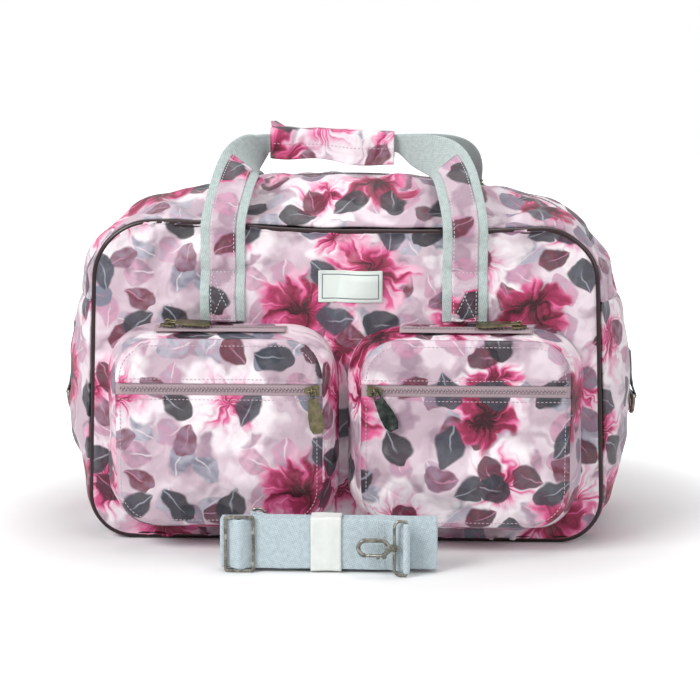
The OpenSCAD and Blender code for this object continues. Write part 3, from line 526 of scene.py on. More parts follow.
def printed_cotton():
    """Plain-woven cotton with a painterly blossom print under a thin clear coat. To the eye: soft washes with
    no hard outline, broad satin lights on every fold, and threads only close to."""
    c = bpy.context.scene.holdall_colours
    made, node, shader = finish_of("Printed cotton, satin coated", Coat_Weight=0.18, Coat_Roughness=0.25,
                                   Specular_IOR_Level=0.24)
    place = node("UVMap", uv_map="cloth")
    bleed = node("TexNoise", {"Vector": place, "Scale": 1 / 0.026, "Detail": 2.0}, noise_dimensions="2D")
    bleed = node("VectorMath SUBTRACT", bleed.node.outputs["Color"], (0.5, 0.5, 0.5))
    loose = node("VectorMath MULTIPLY_ADD", bleed, (0.034, 0.034, 0.0), place)
    close = node("VectorMath MULTIPLY_ADD", bleed, (0.013, 0.013, 0.0), place)
    pale, pink, wine, slate = tuple(c.pale), tuple(c.pink), tuple(c.wine), tuple(c.slate)
    white, blush, rose = linear("#F3EAEE"), linear("#E6B3C8"), linear("#C487A4")
    berry, claret, dark = linear("#A03058"), linear("#641A31"), linear("#350D1A")
    mauve, plum, haze, mist = linear("#8B6C81"), linear("#4A2C3A"), linear("#6E7888"), linear("#A8AEBB")
    colour = tuple(c.ground)
    washes = ((0.058, 0.46, 0.66, 0.85, pale), (0.036, 0.52, 0.70, 0.65, mauve))
    for scale, low, high, most, over in washes:
        shifted = node("VectorMath ADD", loose, (scale * 31, scale * 57, 0))
        wash = node("TexNoise", {"Vector": shifted, "Scale": 1 / scale, "Detail": 2.0}, noise_dimensions="2D")
        share = node("MapRange", {0: wash, 1: low, 2: high, 4: most}, interpolation_type="SMOOTHSTEP")
        colour = node("Mix", {0: share, 6: colour, 7: over}, data_type="RGBA")
    faint = [mauve, rose, linear("#B38DA6"), mist, haze]
    night = [linear("#16181D"), slate, linear("#3F4753")]
    colour = leaf(node, colour, close, 0.034, 1, 0.46, 0.36, faint, white, 0.8, 0.7)
    colour = blossom(node, colour, loose, 0.102, 2, 0.48, [claret, berry, pink, blush, pale, white], 0.85, 5)
    colour = leaf(node, colour, close, 0.036, 3, 0.43, 0.32, [plum, claret, mauve, haze], rose, 0.46)
    colour = blossom(node, colour, loose, 0.114, 4, 0.42, [dark, claret, wine, berry, pink, blush], 0.7, 6)
    colour = leaf(node, colour, close, 0.043, 5, 0.42, 0.31, night, mist, 0.38)
    grain = node("TexNoise", {"Vector": place, "Scale": 1 / 0.0022, "Detail": 1.0}, noise_dimensions="2D")
    grain = node("MapRange", {0: grain, 1: 0.35, 2: 0.7, 4: 0.012})
    colour = node("Mix", {0: grain, 6: colour, 7: linear("#EDE3E6")}, data_type="RGBA")
    feed(shader, Base_Color=colour)
    crease = node("TexNoise", {"Vector": place, "Scale": 1 / 0.030, "Detail": 2.0, "Distortion": 0.6},
                  noise_dimensions="2D")
    feed(shader, Roughness=node("MapRange", {0: crease, 3: 0.28, 4: 0.52}))
    broad = node("Bump", {"Height": crease, "Distance": 0.009, "Strength": 0.5})
    # threads lie about 0.5 mm apart; drawn at 0.9 mm so that they show
    woven(node, shader, place, 0.0009, 0.0009, 0.00005, broad)
    return made


def webbing(name, colour, rib, sheen):
    """Polyester webbing in a close rib: matt, with fine ridges along it and painted shade between picks."""
    made, node, shader = finish_of(name, Roughness=0.82, Specular_IOR_Level=0.3, Sheen_Weight=sheen,
                                   Sheen_Roughness=0.5)
    place = node("UVMap", uv_map="cloth")
    skewed = node("VectorRotate", {"Vector": place, "Angle": 0.42}, rotation_type="Z_AXIS")
    # picks lie about 1.1 mm apart; drawn at twice that so that they show
    rise = woven(node, shader, skewed, rib, 0.0026, 0.0003)
    fuzz = node("TexNoise", {"Vector": place, "Scale": 1 / 0.004, "Detail": 3.0})
    # painted shade and highlight: the colour is darker in the weave's valleys and lighter on its ridges,
    # mixed with random fibre fuzz
    shade = node("Math MULTIPLY_ADD", rise, 0.55, fuzz)
    shade = node("MapRange", {0: shade, 1: 0.35, 2: 1.0})
    feed(shader, Base_Color=shaded(node, shade, colour, 0.74, 1.14))
    return made


def coated_piping():
    """Coated cloth drawn tight over a cord: dark and glossy, with a long broken highlight."""
    c = bpy.context.scene.holdall_colours.piping
    made, node, shader = finish_of("Coated piping, glossy maroon", Coat_Weight=0.2, Coat_Roughness=0.15,
                                   Specular_IOR_Level=0.35)
    place = node("UVMap", uv_map="cloth")
    patch = node("TexNoise", {"Vector": place, "Scale": 1 / 0.009, "Detail": 3.0})
    feed(shader, Base_Color=shaded(node, patch, c, 0.6, 1.5),
         Roughness=node("MapRange", {0: patch, 3: 0.22, 4: 0.42}),
         Normal=node("Bump", {"Height": patch, "Distance": 0.0005, "Strength": 0.5}))
    return made


def zip_tape_cloth():
    """Woven polyester zip tape: dull mauve with a fine herringbone."""
    c = bpy.context.scene.holdall_colours.tape
    made, node, shader = finish_of("Zip tape, woven polyester", Roughness=0.75, Specular_IOR_Level=0.3)
    place = node("UVMap", uv_map="cloth")
    # threads lie about 0.4 mm apart; drawn at 1 mm so that they show
    rise = woven(node, shader, place, 0.001, 0.0013, 0.00012)
    # painted shade and highlight: the tape's colour is darker in the weave's valleys and lighter on its
    # ridges
    feed(shader, Base_Color=shaded(node, rise, c, 0.8, 1.1))
    return made


def nylon_coil():
    """Moulded nylon monofilament: smooth, a little glossy, mauve mottled softly lighter and darker."""
    c = bpy.context.scene.holdall_colours.tape
    made, node, shader = finish_of("Zip coil, nylon", Roughness=0.38)
    place = node("TexCoord").node.outputs["Object"]
    patch = node("TexNoise", {"Vector": place, "Scale": 1 / 0.006, "Detail": 2.0})
    feed(shader, Base_Color=shaded(node, patch, c, 0.62, 0.95))
    return made


def thread(name, code):
    """Spun polyester sewing thread: matt, with a slight twist of light and dark along it."""
    made, node, shader = finish_of(name, Roughness=0.7, Specular_IOR_Level=0.3)
    place = node("TexCoord").node.outputs["Object"]
    twist = node("TexNoise", {"Vector": place, "Scale": 1 / 0.0012, "Detail": 1.0})
    feed(shader, Base_Color=shaded(node, twist, linear(code), 0.8, 1.1))
    return made


def antique_metal(name, shades, rough):
    """Plated zinc with an antique finish: bright where it is rubbed, brown-black in patches, softly
    blurred."""
    made, node, shader = finish_of(name, Metallic=1.0)
    place = node("TexCoord").node.outputs["Object"]
    patina = node("TexNoise", {"Vector": place, "Scale": 1 / 0.006, "Detail": 4.0, "Roughness": 0.65})
    worn = node("MapRange", {0: patina, 1: 0.35, 2: 0.70})
    grit = node("TexNoise", {"Vector": place, "Scale": 1 / 0.0011, "Detail": 2.0})
    feed(shader, Base_Color=node("ValToRGB", worn, stops=[linear(s) for s in shades]),
         Roughness=node("MapRange", {0: patina, 1: 0.3, 2: 0.7, 3: rough + 0.14, 4: rough - 0.06}),
         Normal=node("Bump", {"Height": grit, "Distance": 0.00006, "Strength": 0.6}))
    return made


def label_cloth():
    """Damask-woven label: pale mint satin, with one thin slate line woven round inside its edge."""
    made, node, shader = finish_of("Woven label, bare", Roughness=0.55, Sheen_Weight=0.15)
    place = node("UVMap", uv_map="cloth")
    off = node("VectorMath ABSOLUTE", place)
    off = node("VectorMath SUBTRACT", off, (0.0250, 0.0105, 0))
    flat = node("SeparateXYZ", off).node.outputs
    edge = node("Math MAXIMUM", flat[0], flat[1])
    edge = node("Math ABSOLUTE", edge)
    line = node("MapRange", {0: edge, 1: 0.0003, 2: 0.0006, 3: 1.0, 4: 0.0})
    # weft threads lie about 0.2 mm apart; drawn at 0.7 mm so that they show
    rise = woven(node, shader, place, 0.0007, 0.0007, 0.00006)
    # painted shade and highlight: the satin's colour is darker in the weave's valleys and lighter on its
    # ridges
    plain = node("ValToRGB", rise, stops=[linear("#CBD6D0"), linear("#E3E8E3")])
    bordered = node("Mix", {0: line, 6: plain, 7: linear("#5B626B")}, data_type="RGBA")
    feed(shader, Base_Color=bordered)
    return made


def paper_band():
    """Thin white wrapping paper: matt, nearly flat, with faint cloudy fibre and soft creases."""
    made, node, shader = finish_of("Wrapping paper, white", Roughness=0.6, Specular_IOR_Level=0.4)
    place = node("UVMap", uv_map="cloth")
    cloud = node("TexNoise", {"Vector": place, "Scale": 1 / 0.008, "Detail": 4.0})
    feed(shader, Base_Color=node("ValToRGB", cloud, stops=[linear("#D2D8D4"), linear("#ECEEEA")]),
         Normal=node("Bump", {"Height": cloud, "Distance": 0.0006, "Strength": 0.4}))
    return made


def grey_board():
    """Pressed fibre board, hidden in the base: dull grey-brown with short fibres."""
    made, node, shader = finish_of("Fibre board, grey", Roughness=0.9)
    place = node("TexCoord").node.outputs["Object"]
    fibre = node("TexNoise", {"Vector": place, "Scale": 1 / 0.003, "Detail": 4.0})
    feed(shader, Base_Color=node("ValToRGB", fibre, stops=[linear("#4E4843"), linear("#6B645D")]))
    return made


FINISHES = {
    "print": printed_cotton,
    "piping": coated_piping,
    "handle": lambda: webbing("Handle webbing, sage polyester",
                              tuple(bpy.context.scene.holdall_colours.handle), 0.0022, 0.2),
    "strap": lambda: webbing("Strap webbing, blue-grey polyester",
                             tuple(bpy.context.scene.holdall_colours.strap), 0.0024, 0.2),
    "tape": zip_tape_cloth,
    "coil": nylon_coil,
    "mauve thread": lambda: thread("Sewing thread, mauve", "#C6B2BC"),
    "grey thread": lambda: thread("Sewing thread, pale grey", "#CFD6D3"),
    "brass": lambda: antique_metal("Antique brass plate", ("#655F4A", "#787159", "#8B8368"), 0.34),
    "bronze": lambda: antique_metal("Antique bronze plate, dark", ("#262B29", "#3B423F", "#5C635F"), 0.30),
    "nickel": lambda: antique_metal("Antique nickel plate", ("#5A5852", "#86837B", "#B4B1A8"), 0.28),
    "label": label_cloth,
    "paper": paper_band,
    "board": grey_board,
}
MADE = {}


def finish(kind):
    """The material of that kind, made once."""
    if kind not in MADE:
        MADE[kind] = FINISHES[kind]()
    return MADE[kind]


SETTLED = {}


def half_outline(m, inset, corner=10, side=16):
    """Right half of the panel outline, from the base up the side to the top: place across, height, and the
    angle that faces out. Two corner arcs drawn in by the inset, joined by a straight leaning side."""
    low = np.linspace(-np.pi / 2, m.lean, corner + 1)
    high = np.linspace(m.lean, np.pi / 2, corner + 1)
    foot = np.array([m.low_x, m.low_r]) + (m.low_r - inset) * circle(low)
    head = np.array([m.high_x, m.high - m.high_r]) + (m.high_r - inset) * circle(high)
    t = np.linspace(0, 1, side + 1)[1:-1, None]
    line = np.concatenate([foot, foot[-1] + (head[0] - foot[-1]) * t, head])
    return *line.T, np.concatenate([low, np.full(side - 1, m.lean), high])


def panel_y(m, x, z):
    """Front panel: flat along its seams and fullest at its middle, a product of two parabolas."""
    return -m.deep - m.swell * (1 - (x / m.base) ** 2) * (1 - ((z - m.high / 2) / (m.high / 2)) ** 2)


def top_sag(x, z):
    """How far the front top seam hangs, in mm: least at the left corner, most from the middle to the
    right."""
    return 8 * smooth((x + 165) / 150) * (1 - 0.4 * smooth((x - 110) / 90)) * smooth((z - 232) / 50)


def edge_fade(n, m, reach):
    """Share from 0 at the border of a grid to 1 at reach rows or columns inside it."""
    i, j = np.meshgrid(np.arange(n), np.arange(m), indexing="ij")
    return smooth(np.minimum(np.minimum(i, n - 1 - i), np.minimum(j, m - 1 - j)) / reach)


def border(n, m):
    """True along the border of a grid."""
    held = np.ones((n, m), bool)
    held[1:-1, 1:-1] = False
    return held


def gusset_point(m, x, z, a, y):
    """Ends and top between the panels: the outline moved out by the crown of the top and the swell of the
    ends, both fading as a parabola towards the front and back seams."""
    crown = np.sqrt(m.crown_r ** 2 - np.minimum(np.abs(x), m.top) ** 2) - m.crown_r + m.crown
    out = (np.maximum(0, np.sin(a)) * crown + np.abs(np.cos(a)) * m.ends * np.sin(np.pi * z / m.high))
    out = out * (1 - (y / m.deep) ** 2)
    return stack(x + out * np.cos(a), y, z + out * np.sin(a))


class HOLDALL_OT_body(Operator):
    """Sews the front, back, base, ends and top of the bag, each a sheet of printed cloth, all but the base
    settled.
    """
    bl_idname = "holdall.body"
    bl_label = "Body panels"

    def execute(self, context):
        m = shape()
        x, z, _ = half_outline(m, 4.2)
        share = np.linspace(1, -1, 73)[None, :]
        for name, side, seed in (("front_panel", 1, 11), ("back_panel", -1, 23)):
            across, up = x[:, None] * share, z[:, None] + 0 * share
            loose = edge_fade(*across.shape, 5)
            sag = 1.6 * smooth((m.high - up) / 90) * loose
            flat_y, slack = panel_y(m, across, up), m.wrinkle * (1 + smooth((up - 190) / 40))
            y = flat_y - sag + slack * folds(across, up, seed) * loose
            hung = up - top_sag(across, up) * (side == 1)
            grid = settle(stack(across, y, hung), border(*across.shape), 0.5)
            grid[..., 1] += loose * (flat_y - grid[..., 1])[loose > 0.5].mean()
            SETTLED[name[:-6]] = (grid, x, z, 0.0)
            if side == -1:
                grid = (grid * (1, -1, 1))[:, ::-1]
            uv = pattern(across * side, up) + (0 if side == 1 else 700, 0)
            printed(name, grid, uv, m.cloth)
        x = np.linspace(-m.low_x - 1, m.low_x + 1, 40)[:, None]
        y = np.linspace(-m.gusset, m.gusset, 20)[None, :]
        grid = stack(x, y, 0.35 + 0.25 * ripple(x, y, 5))[::-1]
        surface("base_panel_cloth", grid + (0, 0, 0.2), "print", "printed_cloth", ("base_panel",),
                uv=plain_uv(grid, 1500, 0), thickness=m.cloth)
        depth = np.linspace(m.gusset + 2.5, -m.gusset - 2.5, 31)[None, :]
        x, z, a = half_outline(m, 0, 10, 40)
        keep = z <= m.seam
        rise = np.concatenate([z[keep], [m.seam]])
        x, a = np.interp(rise, z, x), np.interp(rise, z, a)
        for name, side, seed in (("right_end_panel", 1, 31), ("left_end_panel", -1, 37)):
            grid = gusset_point(m, x[:, None], rise[:, None], a[:, None], depth)
            sewn = 1 - smooth((np.abs(depth) - 18) / 14)
            sewn = sewn * (1 - smooth((np.abs(rise - 138) - 34) / 16))[:, None]
            loose = edge_fade(*grid.shape[:2], 5) * (1 - sewn)
            flat = plain_uv(grid, 300 + 400 * side, 40)
            out = m.wrinkle * 1.3 * folds(flat[..., 0], flat[..., 1], seed) * loose
            grid[..., 0] += np.where(rise > 12, 1, 0)[:, None] * out
            grid = settle(grid, border(*loose.shape) | (sewn > 0.95), 0.4)
            SETTLED[name] = (rise, grid[:, np.abs(depth[0]) < 18, 0].max(1))
            if side == -1:
                grid = (grid * (-1, 1, 1))[:, ::-1]
            printed(name, grid, flat, m.cloth)
        self.top(m)
        return {"FINISHED"}

    def top(self, m):
        """Two strips over the top from seam to seam, either side of the main zip."""
        x, z, a = half_outline(m, 0, 14, 40)
        keep = z >= m.seam
        flat_x = np.linspace(m.high_x, -m.high_x, 46)[1:-1]
        up_x, up_z = np.append(np.interp(m.seam, z, x), x[keep]), np.append(m.seam, z[keep])
        up_turn = np.append(m.lean, a[keep])
        x = np.concatenate([up_x, flat_x, -up_x[::-1]])
        rise = np.concatenate([up_z, np.full(44, m.high), up_z[::-1]])
        turn = np.concatenate([up_turn, np.full(44, np.pi / 2), np.pi - up_turn[::-1]])
        SETTLED["top"] = (x, rise, turn)
        for name, side, seed in (("top_strip_front", -1, 41), ("top_strip_back", 1, 43)):
            depth = np.linspace(-7.4, -m.gusset - 2.5, 17)[None, :]
            grid = gusset_point(m, x[:, None], rise[:, None], turn[:, None], depth)
            loose = edge_fade(*grid.shape[:2], 4)
            flat = plain_uv(grid, 420 + 160 * side, -130)
            normal = stack(np.cos(turn), 0, np.sin(turn))[:, None]
            grid += normal * (m.wrinkle * 2.2 * folds(flat[..., 0], flat[..., 1], seed) * loose)[..., None]
            if side == -1:
                grid[..., 2] -= top_sag(x, rise)[:, None] * (depth / (m.gusset + 2.5)) ** 2
            grid = settle(grid, border(*loose.shape), 0.3, 0.018, 5)
            if side == 1:
                grid = (grid * (1, -1, 1))[:, ::-1]
            printed(name, grid, flat, m.cloth)


class HOLDALL_OT_piping(Operator):
    """Runs a covered cord round the front and back seams: a circle carried round the panel outline."""
    bl_idname = "holdall.piping"
    bl_label = "Piping"

    def execute(self, context):
        m = shape()
        x, z, a = half_outline(m, m.pipe, 14, 40)
        base = np.linspace(-m.low_x, m.low_x, 34)[1:-1]
        top = np.linspace(m.high_x, -m.high_x, 32)[1:-1]
        x = np.concatenate([base, x, top, -x[::-1]])
        z = np.concatenate([np.full(32, m.pipe), z, np.full(30, m.high - m.pipe), z[::-1]])
        a = np.concatenate([np.full(32, -np.pi / 2), a, np.full(30, np.pi / 2), np.pi - a[::-1]])
        far = lengths(stack(x, 0, z))
        b = np.linspace(0, 2 * np.pi, 12, endpoint=False)[None, :]
        wave = 0.22 * ripple(far, 0 * far, 3, (46, 21))[:, None]
        r = m.pipe * 1.06 + 0.1 * ripple(far, 0 * far, 9, (30, 13))[:, None]
        out = r * np.cos(b) + wave * np.clip(z[:, None] / 8 - 0.6, 0, 1)
        around = 2 * np.pi * m.pipe * np.arange(13) / 12
        flat = pattern(around[None, :], np.append(far, far[-1] + 12)[:, None])
        for name, side in (("front_piping", 1), ("back_piping", -1)):
            hang = (top_sag(x, z) * (side == 1))[:, None]
            ring = stack(x[:, None] + out * np.cos(a)[:, None], m.pipe - m.deep + r * np.sin(b) - 0.2,
                         np.maximum(z[:, None] + out * np.sin(a)[:, None] - hang, 0.02))
            ring = ring[:, ::-1] if side == 1 else ring * (1, -1, 1)
            surface(name + "_cord", ring, "piping", "piping", (name,), uv=flat, loop_rows=True,
                    loop_columns=True, levels=1)
        return {"FINISHED"}


def face_half(m, z):
    """Half width of a pocket's face at a height: a straight side drawn in by an arc at each corner."""
    dip = np.maximum(0, np.maximum(m.face_low + m.face_r - z, z - m.face_high + m.face_r))
    return m.face_w / 2 - m.face_r + np.sqrt(np.maximum(m.face_r ** 2 - dip ** 2, 0))


def face_inside(m, x, z):
    """Distance of a place on a pocket's face from the face's rounded outline."""
    middle, half = (m.face_low + m.face_high) / 2, (m.face_high - m.face_low) / 2
    qx, qz = np.abs(x) - m.face_w / 2 + m.face_r, np.abs(z - middle) - half + m.face_r
    outside = np.hypot(np.maximum(qx, 0), np.maximum(qz, 0)) + np.minimum(np.maximum(qx, qz), 0)
    return np.maximum(m.face_r - outside, 0)


def edge_round(m, inside):
    """Quarter round along the edge of a pocket's face: how far back it lies at a distance inside the edge."""
    return m.face_edge - np.sqrt(np.maximum(m.face_edge ** 2 - np.maximum(m.face_edge - inside, 0) ** 2, 0))


def face_depth(m, x, z):
    """Depth of a pocket's face: a quarter round along its edge, filled out low down and flat by its zip."""
    inside, below = face_inside(m, x, z), np.abs(z - m.zip_z) - m.zip_w / 2
    return m.face_y + edge_round(m, inside) - m.pocket * smooth(inside / 46) * smooth((below - 26) / 50)


def rounded_loop(w, low, high, r, corner=8, side=14):
    """Rounded rectangle as places and heights, anticlockwise from the lower right corner."""
    x, a = w / 2 - r, np.linspace(0, np.pi / 2, corner + 1)
    arcs = [np.array([cx, cz]) + r * circle(a + q) for cx, cz, q in (
        (x, low + r, -np.pi / 2), (x, high - r, 0), (-x, high - r, np.pi / 2), (-x, low + r, np.pi))]
    t = np.linspace(0, 1, side + 1)[1:-1, None]
    return np.concatenate([part for k in range(4) for part in (
        arcs[k], arcs[k][-1] + (arcs[(k + 1) % 4][0] - arcs[k][-1]) * t)])


def read_grid(key, x, z):
    """Depth of a settled sheet at a place and height, read between its rows and columns."""
    grid, width, height, middle = SETTLED[key]
    x, z = np.broadcast_arrays(np.asarray(x, float) - middle, np.asarray(z, float))
    r = np.clip(np.interp(z, height, np.arange(len(height))), 0, len(height) - 1.001)
    c = np.clip((1 - x / np.interp(z, height, width)) / 2 * (grid.shape[1] - 1), 0, grid.shape[1] - 1.001)
    i, j = r.astype(int), c.astype(int)
    u, v, y = r - i, c - j, grid[..., 1]
    return ((1 - u) * (1 - v) * y[i, j] + u * (1 - v) * y[i + 1, j] + (1 - u) * v * y[i, j + 1]
            + u * v * y[i + 1, j + 1])


class HOLDALL_OT_pockets(Operator):
    """Sews two boxed pockets on the front: a gusset lofted from the face's outline to the panel, and a face
    in two settled parts either side of its zip."""
    bl_idname = "holdall.pockets"
    bl_label = "Front pockets"

    def execute(self, context):
        m = shape()
        t = np.linspace(0, np.pi / 2, 11)
        low = np.concatenate([m.face_low + m.face_r * (1 - np.cos(t)),
                              np.linspace(m.face_low + m.face_r, m.zip_z - m.zip_w / 2 - 0.2, 24)[1:]])
        high = np.concatenate([np.linspace(m.zip_z + m.zip_w / 2 + 0.2, m.face_high - m.face_r, 3)[:-1],
                               m.face_high - m.face_r * (1 - np.sin(t))])
        share = np.linspace(1, -1, 51)[None, :]
        for side, word in ((-1, "left"), (1, "right")):
            middle = side * m.pocket_x
            for part, rows, seed in (("lower", low, 51 + side), ("upper", high, 61 + side)):
                half = np.maximum(face_half(m, rows), m.face_w / 2 - m.face_r)
                x, z = half[:, None] * share, rows[:, None] + 0 * share
                inside = face_inside(m, x, z)
                loose = smooth(inside / 22) * smooth((np.abs(z - m.zip_z) - m.zip_w / 2) / 16)
                y = face_depth(m, x, z) + m.wrinkle * folds(x, z, seed) * loose
                held = border(*x.shape) | (inside < 5) | (np.abs(z - m.zip_z) < m.zip_w / 2 + 5)
                grid = settle(stack(x, y, z), held, 0.4)
                clear = m.face_y - 1.6 - 16 * smooth((np.abs(z - m.zip_z) - 44) / 30)
                grid[..., 1] = np.maximum(grid[..., 1], clear)
                grid[..., 0] += middle
                SETTLED[word + part] = (grid, half, rows, middle)
                uv = pattern(x + middle + 30 + 34 * side, z + 190 + 35 * side)
                printed(word + "_pocket_" + part + "_face", grid, uv, m.pocket_cloth)
            self.gusset(m, side, word, middle)
            self.stitching(m, word, middle)
        return {"FINISHED"}

    def gusset(self, m, side, word, middle):
        """Loft from the panel to the face, bowed out a little and left flat under the top zip."""
        face = rounded_loop(m.face_w - 1.2, m.face_low + 0.6, m.face_high - 0.6, m.face_r)
        back = rounded_loop(m.back_w, m.back_low, m.back_high, m.back_r)
        s = np.linspace(0, 1, 13)[None, :]
        x = back[:, :1] + (face - back)[:, :1] * s
        z = back[:, 1:] + (face - back)[:, 1:] * s
        root = read_grid("front", back[:, 0] + middle, back[:, 1])[:, None] + 1.2
        y = root + (m.face_y + 4.6 - root) * s
        ahead = np.roll(face, -1, 0) - np.roll(face, 1, 0)
        out = unit(np.stack([ahead[:, 1], -ahead[:, 0]], -1))
        far = lengths(closed(face))
        top = smooth((out[:, 1:] - 0.6) / 0.35)
        uneven = 1.5 * (1 - top) * ripple(far[:-1, None], m.gusset_w * s, 71 + side, (60, 38, 24))
        bow = np.sin(np.pi * s) * (3.2 * (1 - top) + 0.9 * top + uneven)
        grid = stack(middle + x + bow * out[:, :1], y, np.maximum(z + bow * out[:, 1:], 0.6))
        flat = pattern(m.gusset_w * s + 260 * side, far[:, None])
        printed(word + "_pocket_gusset", grid, flat, m.pocket_cloth, loop_rows=True)

    def stitching(self, m, word, middle):
        """Topstitch 5 mm inside the face's edge and 4 mm from each lip of its zip."""
        inset = 5.5
        loop = closed(rounded_loop(m.face_w - 2 * inset, m.face_low + inset, m.face_high - inset,
                                   m.face_r - inset))
        keep = np.abs(loop[:, 1] - m.zip_z) > m.zip_w / 2 + 0.5
        paths = []
        for part, pick in (("lower", loop[:, 1] < m.zip_z), ("upper", loop[:, 1] > m.zip_z)):
            run = loop[pick & keep]
            start = np.argmax(np.linalg.norm(np.diff(run, axis=0), axis=1))
            if np.linalg.norm(run[start + 1] - run[start]) > 30:
                run = np.roll(run, -start - 1, 0)
            edge = m.zip_z + (m.zip_w / 2 + 4) * (1 if part == "upper" else -1)
            lip = np.stack([np.linspace(-m.face_w / 2 + 3, m.face_w / 2 - 3, 60), np.full(60, edge)], -1)
            for line in (run, lip):
                y = read_grid(word + part, line[:, 0] + middle, line[:, 1])
                paths.append(stack(line[:, 0] + middle, y - 0.15, line[:, 1]))
        topstitch(word + "_pocket_topstitch", paths, (0, -1, 0), "mauve thread", "printed_cloth",
                  m.stitch, 0.36)


class HOLDALL_OT_zips(Operator):
    """Lays the tapes and coils of the pocket zips and of the main zip over the top."""
    bl_idname = "holdall.zips"
    bl_label = "Zips"

    def execute(self, context):
        m = shape()
        for side, word in ((-1, "left"), (1, "right")):
            middle = side * m.pocket_x
            x = np.linspace(m.face_w / 2, -m.face_w / 2, 64)
            y = m.face_y + 0.9 + edge_round(m, m.face_w / 2 - np.abs(x))
            z = np.linspace(m.zip_z - m.zip_w / 2 - 1.6, m.zip_z + m.zip_w / 2 + 1.6, 7)
            dished = 0.25 * np.abs(z[:, None] - m.zip_z) / 6
            grid = stack(middle + x[None, :], y[None, :] + dished, z[:, None])
            self.tape(word + "_face_zip", grid)
            line = stack(middle + x[2:-2], y[2:-2] - 0.3, m.zip_z)
            zip_coil(word + "_face_zip_coil", line, (0, 0, 1), (0, -1, 0), m.tooth)
            tilt = math.atan((m.back_high - m.face_high) / m.gusset_run)
            wide = np.array([0, math.cos(tilt), math.sin(tilt)])
            up = np.array([0, -math.sin(tilt), math.cos(tilt)])
            at = np.array([middle, m.top_zip_y, m.top_zip_z])
            run = np.linspace(-m.top_zip_half, m.top_zip_half, 48)
            across = np.linspace(8, -8, 9)
            grid = (at + up * 0.6 + run[:, None, None] * (1, 0, 0)
                    - across[None, :, None] * wide - up * (0.1 * np.abs(across)[None, :, None]))
            self.tape(word + "_top_zip", grid)
            line = at + up * 0.9 + run[1:-1, None] * (1, 0, 0)
            zip_coil(word + "_top_zip_coil", line, wide, up, m.tooth)
        x, z, a = SETTLED["top"]
        y = np.linspace(9, -9, 9)[None, :]
        grid = gusset_point(m, x[:, None], z[:, None], a[:, None], y)
        normal = stack(np.cos(a), 0 * a, np.sin(a))
        grid = grid - normal[:, None] * (0.05 + 0.12 * np.maximum(np.abs(y) - 7, 0))[..., None]
        self.tape("main_zip", grid)
        line = gusset_point(m, x, z, a, 0 * x) + normal * 0.35
        zip_coil("main_zip_coil", line, (0, 1, 0), normal, m.tooth)
        return {"FINISHED"}

    def tape(self, name, grid):
        """Strip of woven tape that stands for a zip of the frame."""
        surface(name + "_tape", grid, "tape", "zip_tape", (name,), uv=plain_uv(grid), thickness=1.0)


# Route of a handle from its sewn leg to the wrap, as shares: across, back, up, turn and width.
HANDLE_SHARES = np.array([
    (0.00, 0.00, 0.00, 0.00, 1.00), (0.00, 0.00, 0.36, 0.00, 1.00), (0.00, 0.20, 0.62, 0.04, 1.00),
    (0.00, 0.46, 0.79, 0.24, 1.00), (0.16, 0.73, 0.88, 0.62, 1.00), (0.52, 0.92, 0.94, 0.94, 0.80),
    (0.88, 1.00, 1.00, 1.00, 0.46), (1.20, 1.00, 1.00, 1.00, 0.38), (1.60, 1.00, 1.00, 1.00, 0.38)])


def handle_route(m, key):
    """Middle line of a handle with the way its width points and its width share: up the sewn leg, back over
    the top while it turns on edge and folds, through the wrap, and down the other leg as the mirror image."""
    leg, sewn, stacked, proud = m.leg_x, m.leg_sewn, 4.13, 2.3
    reach = leg - m.wrap_half
    y0 = panel_y(m, leg, sewn) - proud
    s = HANDLE_SHARES
    rise = stack(-leg + s[:, 0] * reach, y0 + s[:, 1] * (-stacked - y0), sewn + s[:, 2] * (m.grip_z - sewn))
    rise = np.column_stack([rise, 90 * s[:, 3], s[:, 4]])
    foot = [(-leg, panel_y(m, leg, h) - proud, h, 0, 1) for h in (m.leg_low, (m.leg_low + sewn) / 2)]
    left = np.concatenate([foot, rise])
    right = left[::-1] * (-1, 1, 1, -1, 1) + (0, 0, 0, 180, 0)
    row = np.concatenate([left, right])
    if key == "front":
        row[:, 0] *= 1 - 0.09 * smooth((row[:, 2] - 296) / 40) * smooth((np.abs(row[:, 0]) - 60) / 30)
    row[:, 0] += m.wrap_x * smooth((leg - np.abs(row[:, 0])) / reach)
    line = through(row, 10)
    path, turn, share = line[:, :3].copy(), np.radians(line[:, 3]), line[:, 4]
    high, half = np.minimum(path[:, 2], m.high - 8), m.webbing / 2
    seat = np.min([read_grid(key, path[:, 0] + d, high) for d in (-half, 0, half)], 0) - 1.3
    near = 1 - smooth((path[:, 2] - sewn - 4) / 34)
    path[:, 1] += near * (np.minimum(seat, path[:, 1] + 4) - path[:, 1])
    along = tangents(path)
    wide = stack(np.cos(turn), 0 * turn, -np.sin(turn))
    wide = unit(wide - along * (wide * along).sum(-1, keepdims=True))
    return path, wide, np.cross(wide, along), share


